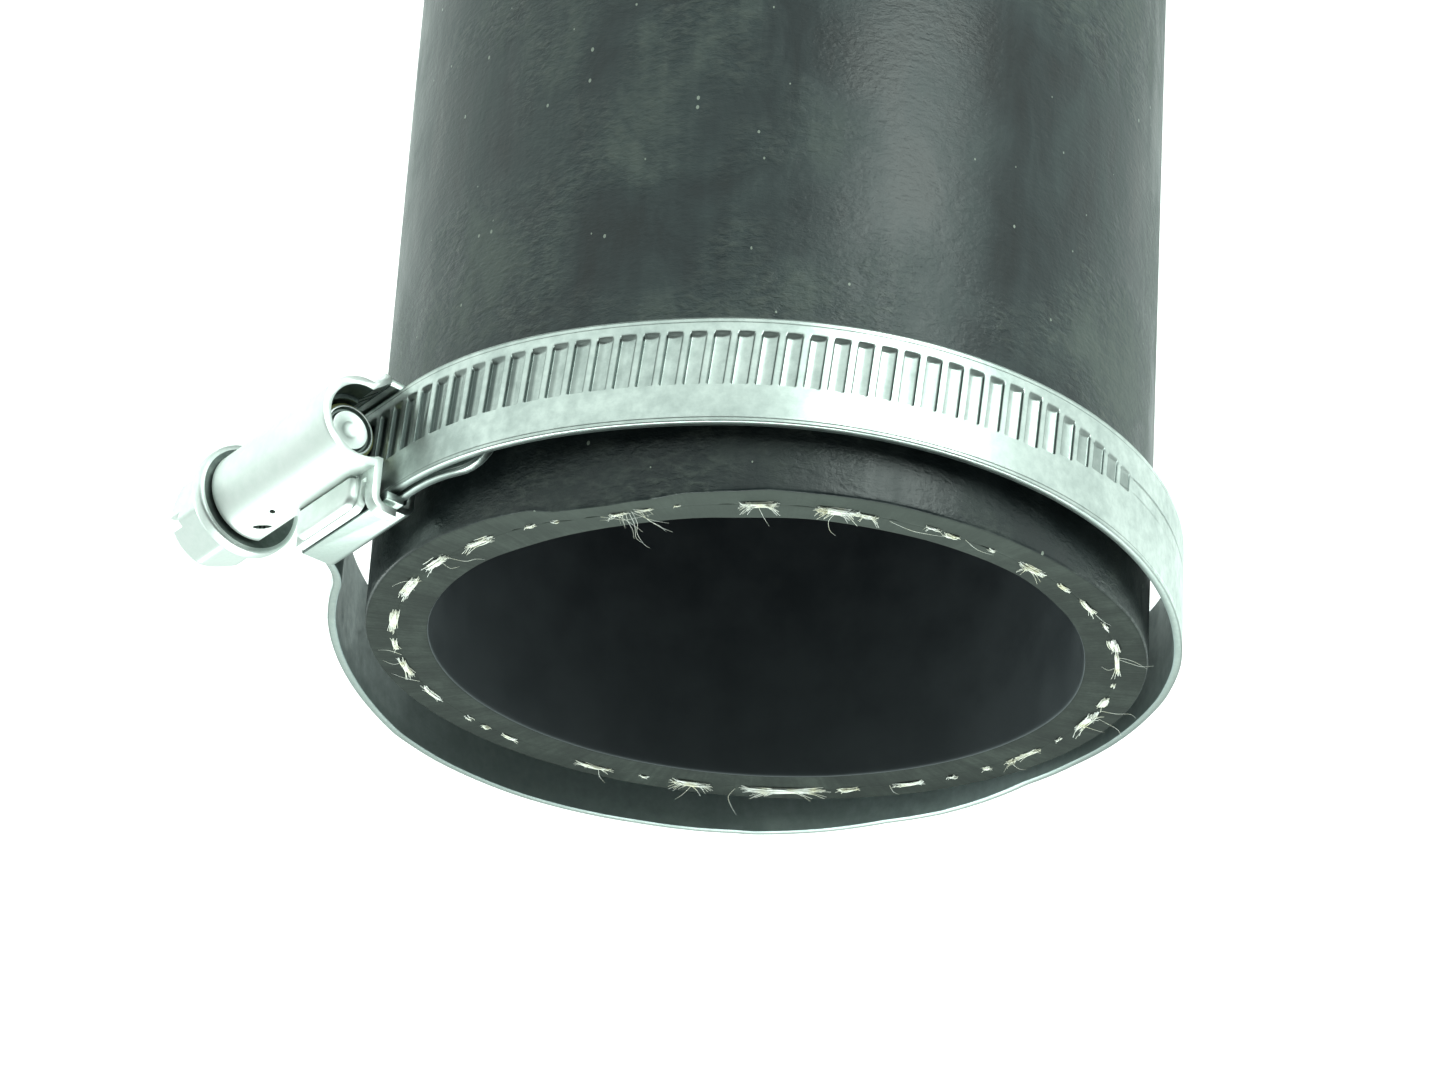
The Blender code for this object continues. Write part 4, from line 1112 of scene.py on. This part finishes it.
def build_housing():
    center = (SCREW_HEIGHT, BARREL_OFFSET)
    neck_angle = math.pi - math.asin(NECK_HALF_WIDTH / BARREL_INNER)
    valley_angle = math.pi - math.acos((SCREW_HEIGHT - FOOT_TOP) / BARREL_OUTER)
    foot_edge = WALL_OUTSIDE + FOOT_OVERHANG
    outline = [(FOOT_BOTTOM, BARREL_OFFSET + NECK_HALF_WIDTH), (FOOT_BOTTOM, foot_edge), (FOOT_TOP, foot_edge)]
    outline += arc(center, BARREL_OUTER, valley_angle, -SKIRT_ANGLE, 72)
    outline += [(FOOT_TOP, -WALL_INSIDE), (FOOT_TOP - 0.1 * MM, -SKIRT_REACH)]
    outline += [(FOOT_BOTTOM, 0.1 * MM - SKIRT_REACH), (FOOT_BOTTOM, SEAT_GAP - WALL_INSIDE)]
    outline += arc(center, BARREL_INNER, -SKIRT_ANGLE, neck_angle, 72)
    housing = temporary("housing", prism(outline, BARREL_REAR, HOUSING_FRONT, 40))

    lug_rear = HOUSING_FRONT - LUG_LENGTH
    foot_front = lug_rear - LUG_NOTCH
    foot_rear = foot_front - FOOT_LENGTH
    reach = 2 * WALL_OUTSIDE
    low = FOOT_BOTTOM - SHEET
    high = FOOT_TOP + SEAT_GAP
    opening = [(low, -reach), (high, -reach), (high, reach), (low, reach)]

    lug_inside = WALL_OUTSIDE + SEAT_GAP
    lug_outside = lug_inside + SHEET
    neck = BARREL_OFFSET + NECK_HALF_WIDTH + SHEET / 2
    bend_center = (FOOT_TOP - LUG_BEND, lug_outside - LUG_BEND)
    lug = [(FOOT_BOTTOM, neck), (FOOT_TOP, neck)]
    lug += arc(bend_center, LUG_BEND, 0.0, math.pi / 2, 14)
    lug += [(WALL_TOP - LUG_DROP, lug_outside), (WALL_TOP - LUG_DROP, lug_inside)]
    lug += arc(bend_center, LUG_BEND - SHEET, math.pi / 2, 0.0, 14)

    lip_front = HOUSING_FRONT - TIP_RECESS
    lip = arc(center, BARREL_INNER + SHEET / 3, -SKIRT_ANGLE, neck_angle, 60)
    lip += arc(center, TIP_RADIUS + SEAT_GAP, neck_angle, -SKIRT_ANGLE, 60)
    carve(housing, [
        ("DIFFERENCE", prism(opening, BARREL_REAR - SHEET, foot_rear)),
        ("DIFFERENCE", foot_cutter(foot_front)),
        ("UNION", prism(lug, lug_rear, HOUSING_FRONT)),
        ("UNION", prism(lip, lip_front - LIP_LENGTH, lip_front)),
        ("UNION", pad_block(foot_front)),
    ])
    soften(housing, 0.13 * MM)

    # The parting line between barrel and pad, and the holes.
    top = PAD_TOP + 0.16 * MM
    bottom = PAD_TOP - 0.5 * MM
    line = [(top, 3.17 * MM), (top, 3.4 * MM), (bottom, 3.34 * MM), (bottom, 3.2 * MM)]
    cuts = [("DIFFERENCE", prism(line, -9.6 * MM, -2.3 * MM))]
    for x, y, wide, high, turn_deg in BARREL_HOLES:
        bm = bmesh.new()
        turn = complex(math.cos(math.radians(turn_deg)), math.sin(math.radians(turn_deg)))
        ring = []
        for k in range(28):
            a = 2 * math.pi * k / 28
            ring.append(complex(wide * math.cos(a), high * math.sin(a)) * turn)
        loft(bm, [[((x + p.real) * MM, (y + p.imag) * MM, z * MM) for p in ring] for z in (2.2, 3.0, 4.2)])
        cuts.append(("DIFFERENCE", bm))
    carve(housing, cuts)

    def kind_of(at, normal):
        y = at.y - SCREW_HEIGHT
        z = at.z - BARREL_OFFSET
        near = math.hypot(y, z)
        facing = normal.y * y + normal.z * z < -0.3 * near
        behind = at.x < HOUSING_FRONT - 0.3 * MM
        in_lip = near < BARREL_INNER - 0.05 * MM and behind
        in_hole = near < BARREL_OUTER - 0.12 * MM and behind and at.y > FOOT_TOP
        # Faces in painted shade: the barrel's inside, the lip, the holes' walls and the undersides on the +z side.
        if (facing and near < BARREL_OUTER - 0.2 * MM and abs(normal.x) < 0.6) or in_lip or in_hole:
            return 1
        if normal.y < -0.25 and at.y < FOOT_TOP - 0.2 * MM and at.z > 0:
            return 1
        # The foot's top takes the darker foot zinc, which is painted shade.
        on_foot = normal.y > 0.5 and at.y < FOOT_TOP + 0.2 * MM and at.z > 3.0 * MM
        return 2 if on_foot else 0

    zinc = [HOUSING_ZINC, HOUSING_SHADE_ZINC, FOOT_SHADE_ZINC]
    place(housing, "housing_shell", zinc, "housing_steel", CLAMPED, "clamp_housing", CLAMP, kind_of)


def pad_block(foot_front):
    """The raised pad on the near foot, with a rounded front end."""
    levels = [(FOOT_TOP - 0.3 * MM, 0.0), (FOOT_TOP + 0.15 * MM, 0.0), (PAD_TOP - 0.22 * MM, 0.06)]
    levels += [(PAD_TOP - 0.07 * MM, 0.16), (PAD_TOP, 0.34)]
    rings = []
    for y, inset in levels:
        near = PAD_SIDE - inset * MM
        front = foot_front - 0.35 * MM - inset * MM
        rear = PAD_REAR + inset * MM
        ring = [(rear, y, 2.6 * MM), (front, y, 2.6 * MM)]
        ring += [(front - a, y, near - b) for a, b in corner_rounding(PAD_CORNER, 10)]
        ring += [(rear + b, y, near - a) for a, b in corner_rounding(0.5 * MM, 6)]
        rings.append(ring)
    bm = bmesh.new()
    loft(bm, rings)
    return bm


def build_saddle():
    bend_height = SADDLE_BOTTOM + SADDLE_CORNER
    bend_side = WALL_OUTSIDE - SADDLE_CORNER
    inner = SADDLE_CORNER - SHEET / 2
    outline = [(WALL_TOP, WALL_INSIDE), (WALL_TOP, WALL_OUTSIDE)]
    outline += arc((bend_height, bend_side), SADDLE_CORNER, math.pi / 2, math.pi, 12)
    outline += arc((bend_height, -bend_side), SADDLE_CORNER, math.pi, math.pi * 1.5, 12)
    outline += [(WALL_TOP, -WALL_OUTSIDE), (WALL_TOP, -WALL_INSIDE)]
    outline += arc((SADDLE_TOP + inner, inner - WALL_INSIDE), inner, math.pi * 1.5, math.pi, 8)
    outline += arc((SADDLE_TOP + inner, WALL_INSIDE - inner), inner, math.pi, math.pi / 2, 8)
    saddle = temporary("saddle", prism(outline, SADDLE_REAR, SADDLE_FRONT))
    ear_low = WALL_TOP - 1.7 * MM
    ear = [(ear_low, WALL_INSIDE), (WALL_TOP, WALL_INSIDE), (WALL_TOP, WALL_OUTSIDE), (ear_low, WALL_OUTSIDE)]
    carve(saddle, [("UNION", prism(ear, SADDLE_FRONT - 0.3 * MM, -0.3 * MM))])
    soften(saddle, 0.12 * MM)

    def kind_of(at, normal):
        # Painted shade on the tops of the saddle's walls, under the housing's feet.
        return int(at.y > WALL_TOP - 0.17 * MM)

    zinc = [SADDLE_ZINC, HOUSING_SHADE_ZINC]
    place(saddle, "saddle_shell", zinc, "housing_steel", CLAMPED, "clamp_saddle", CLAMP, kind_of)


def hexagon_radius(angle):
    facet = math.fmod(angle, math.pi / 3) - math.pi / 6
    return HEAD_ACROSS_FLATS / 2 / math.cos(facet)


# Shares of the pitch.
THREAD_HALF_CREST = 0.12
THREAD_FLANK = 0.2


def worm_radius(x, angle):
    turn = (x / GROOVE_PITCH - angle / (2 * math.pi)) % 1.0
    past = abs(turn - 0.5) - THREAD_HALF_CREST
    rise = 1.0 - max(0.0, min(1.0, past / THREAD_FLANK))
    return CORE_RADIUS + (THREAD_RADIUS - CORE_RADIUS) * rise

# Rings of the screw's round parts, in mm: the collar's, as (inset, ahead of its rear face), and the tip's, as
# (behind its end, radius).
COLLAR_RINGS = (
    (0.2, 0.0), (0.08, 0.03), (0.02, 0.1), (0.0, 0.25), (0.0, 0.9), (0.02, 1.05), (0.1, 1.15), (0.24, 1.2),
)
TIP_RINGS = (
    (0.24, 2.28), (0.16, 2.2), (0.12, 2.1), (0.03, 2.07), (0.0, 2.02), (0.0, 1.92), (0.06, 1.88), (0.28, 1.8),
    (0.28, 1.66), (0.06, 1.58), (0.0, 1.54), (0.0, 0.75), (0.03, 0.68), (0.08, 0.5), (0.12, 0.25),
)
SCREW_SEGMENTS = 120
THREAD_RINGS = 76
THREAD_LEAD_IN = 0.8 * MM


def build_screw():
    collar_front = BARREL_REAR - SEAT_GAP
    collar_rear = collar_front - COLLAR_THICKNESS
    head_end = collar_rear - HEAD_LENGTH
    tip_end = HOUSING_FRONT - TIP_RECESS
    tip_start = tip_end - TIP_LENGTH
    flat = HEAD_ACROSS_FLATS / 2
    corner = flat / math.cos(math.pi / 6) - 0.06 * MM
    angles = [2 * math.pi * k / SCREW_SEGMENTS for k in range(SCREW_SEGMENTS)]
    rings = []

    def add(x, radius_at):
        """A ring at x, of one radius or of a radius for each angle."""
        radii = [radius_at(a) if callable(radius_at) else radius_at for a in angles]
        rings.append([(x, radius * math.cos(a), radius * math.sin(a)) for radius, a in zip(radii, angles)])

    def add_head(x, cone_at, more=0.0):
        cone = flat - 0.12 * MM + (cone_at - head_end) * 1.05
        add(x, lambda a: min(hexagon_radius(a), cone, corner) + more)

    face = flat - 0.3 * MM
    add(head_end, face * 0.5)
    add(head_end, face)
    add(head_end + 0.03 * MM, flat - 0.19 * MM)
    for x in (0.1, 0.2, 0.32, 0.44, 0.58, 0.9):
        add_head(head_end + x * MM, head_end + x * MM)
    for x, more in ((2.2, 0.0), (1.2, 0.0), (0.5, 0.0), (0.12, 0.02), (0.0, 0.12)):
        add_head(collar_rear - x * MM, collar_rear, more * MM)
    for inset, ahead in COLLAR_RINGS:
        add(collar_rear + ahead * MM, COLLAR_RADIUS - inset * MM)
    add(collar_front - 0.005 * MM, 4.1 * MM)
    add(collar_front - 0.02 * MM, 3.2 * MM)
    add(collar_front, CORE_RADIUS + 0.2 * MM)
    thread_start = collar_front + THREAD_LEAD_IN
    add(collar_front + 0.2 * MM, CORE_RADIUS)
    add(thread_start, CORE_RADIUS)
    for k in range(1, THREAD_RINGS + 1):
        x = thread_start + (tip_start - thread_start) * k / (THREAD_RINGS + 1)
        add(x, lambda a: worm_radius(x, a))
    add(tip_start, TIP_RADIUS)
    add(tip_end - 0.3 * MM, TIP_RADIUS)
    for x, radius in TIP_RINGS:
        add(tip_end - x * MM, radius * MM)
    bm = bmesh.new()
    loft(bm, rings)
    screw = temporary("screw_body", bm)
    reach = HEAD_ACROSS_FLATS
    half = SLOT_WIDTH / 2
    slot_box = [(-reach, -half), (reach, -half), (reach, half), (-reach, half)]
    carve(screw, [("DIFFERENCE", prism(slot_box, head_end - reach, head_end + SLOT_DEPTH))])

    def kind_of(at, normal):
        out = math.hypot(at.y, at.z)
        # Painted shade on the tip's ring groove, on the collar's front face and on the thread inside the barrel; the
        # tip's outer rim is yellow.
        if at.x > tip_end - 0.3 * MM and out > 1.55 * MM:
            return 2 if out > 2.07 * MM else int(out < 1.9 * MM)
        on_face = normal.x > 0.7 and abs(at.x - collar_front) < 0.1 * MM and out < 4.12 * MM
        return int(on_face or (collar_front + 0.05 * MM < at.x < tip_start - 0.1 * MM))

    zinc = [SCREW_ZINC, SCREW_SHADE_ZINC, SCREW_YELLOW]
    place(screw, "screw_body", zinc, "screw_steel", TURNING, "worm_screw", SCREW, kind_of, sharp=34)


build_housing()
build_saddle()
build_screw()


# ---------------- camera, floor and light


def build_camera():
    data = bpy.data.cameras.new("camera")
    data.lens = 127.5
    data.sensor_width = 36.0
    data.sensor_fit = "HORIZONTAL"
    data.clip_start = 0.02
    data.clip_end = 20.0
    camera = link_object("camera", data)
    right = Vector((-0.99821, 0.0, -0.05980)).normalized()
    back = Vector((-0.02461, -0.91136, 0.41086)).normalized()
    up = back.cross(right).normalized()
    right = up.cross(back).normalized()
    turn = Matrix((right, up, back)).transposed()
    spot = Vector((AXIS_X - 6.536 * MM, AXIS_Y - 365.194 * MM, TOP + 155.035 * MM))
    camera.matrix_world = Matrix.Translation(spot) @ turn.to_4x4()
    bpy.context.scene.camera = camera


def floor_material():
    """White paper: plain white to the camera where it is lit, with the object's shadow kept."""
    n = material_nodes("floor_white")
    n.finish((0.84, 0.84, 0.84), 0.9, Specular_IOR_Level=0.0)
    distance = n.vector_math("LENGTH", n.coords())["Value"]
    far = n.ramp(n.math("DIVIDE", distance, 2.0), [(0.15, 0.4), (0.7, 1.0)], "EASE")
    strength = n.times(n.node("LightPath").outputs["Is Camera Ray"], far)
    glow = n.node("Emission", {"Color": (1.0, 1.0, 1.0), "Strength": strength})
    both = n.node("AddShader", {0: n.tree.nodes["Principled BSDF"].outputs[0], 1: glow.outputs[0]})
    n.put(n.tree.nodes["Material Output"], {"Surface": both.outputs[0]})
    return n.owner


def build_floor():
    mesh = bpy.data.meshes.new("floor")
    size = 6.0
    mesh.from_pydata([(-size, -size, 0), (size, -size, 0), (size, size, 0), (-size, size, 0)], [], [(0, 1, 2, 3)])
    mesh.materials.append(floor_material())
    floor = link_object("floor", mesh)


LIGHT_TINT = (0.86, 1.0, 0.94)
WORLD_FRONT = 0.1
WORLD_BACK = 0.8
STRIP_ANGLE = math.radians(33.5)
STRIP_DISTANCE = 0.26


def build_world():
    """White to the camera; as light, a soft studio that is dimmer on the camera's side."""
    world = bpy.data.worlds.new("studio")
    bpy.context.scene.world = world
    n = Nodes(world)
    n.tree.nodes.clear()
    path = n.node("LightPath").outputs
    seen = n.math("MAXIMUM", path["Is Camera Ray"], path["Is Transmission Ray"])
    direction = n.node("TexCoord").outputs["Generated"]
    strength = n.along(direction, 1, -0.75, 0.15, WORLD_FRONT, WORLD_BACK)
    white = n.node("Background", {"Color": (1.0, 1.0, 1.0), "Strength": 1.0}).outputs[0]
    soft = n.node("Background", {"Color": LIGHT_TINT, "Strength": strength}).outputs[0]
    mix = n.node("MixShader", {0: seen, 1: soft, 2: white}).outputs[0]
    n.node("OutputWorld", {"Surface": mix})


def softbox(name, spot, target, size, power):
    data = bpy.data.lights.new(name, "AREA")
    data.shape = "RECTANGLE"
    data.size, data.size_y = size
    data.energy = power
    data.color = LIGHT_TINT
    light = link_object(name, data)
    light.location = spot
    light.rotation_euler = (Vector(target) - Vector(spot)).to_track_quat("-Z", "Y").to_euler()


def build_lights():
    softbox("top", (0.1, 0.25, 1.1), (0.0, 0.0, 0.0), (0.9, 0.9), 13.5)
    # A strip light that slopes up from the floor at the front right, for the long highlight.
    out = Vector((-math.sin(STRIP_ANGLE), -math.cos(STRIP_ANGLE), 0.0)) * STRIP_DISTANCE
    spot = Vector((AXIS_X, AXIS_Y, 0.045)) + out
    softbox("strip", spot, spot - out + Vector((0.0, 0.0, 0.966)), (0.1, 0.26), 0.4)
    softbox("back_right", (-0.36, 0.26, 0.08), (0.0, 0.0, 0.08), (0.25, 0.15), 0.26)
    softbox("back_left", (0.36, 0.26, 0.08), (0.0, 0.0, 0.08), (0.25, 0.15), 0.3)


build_camera()
build_floor()
build_world()
build_lights()
bpy.context.scene.view_settings.view_transform = "Standard"
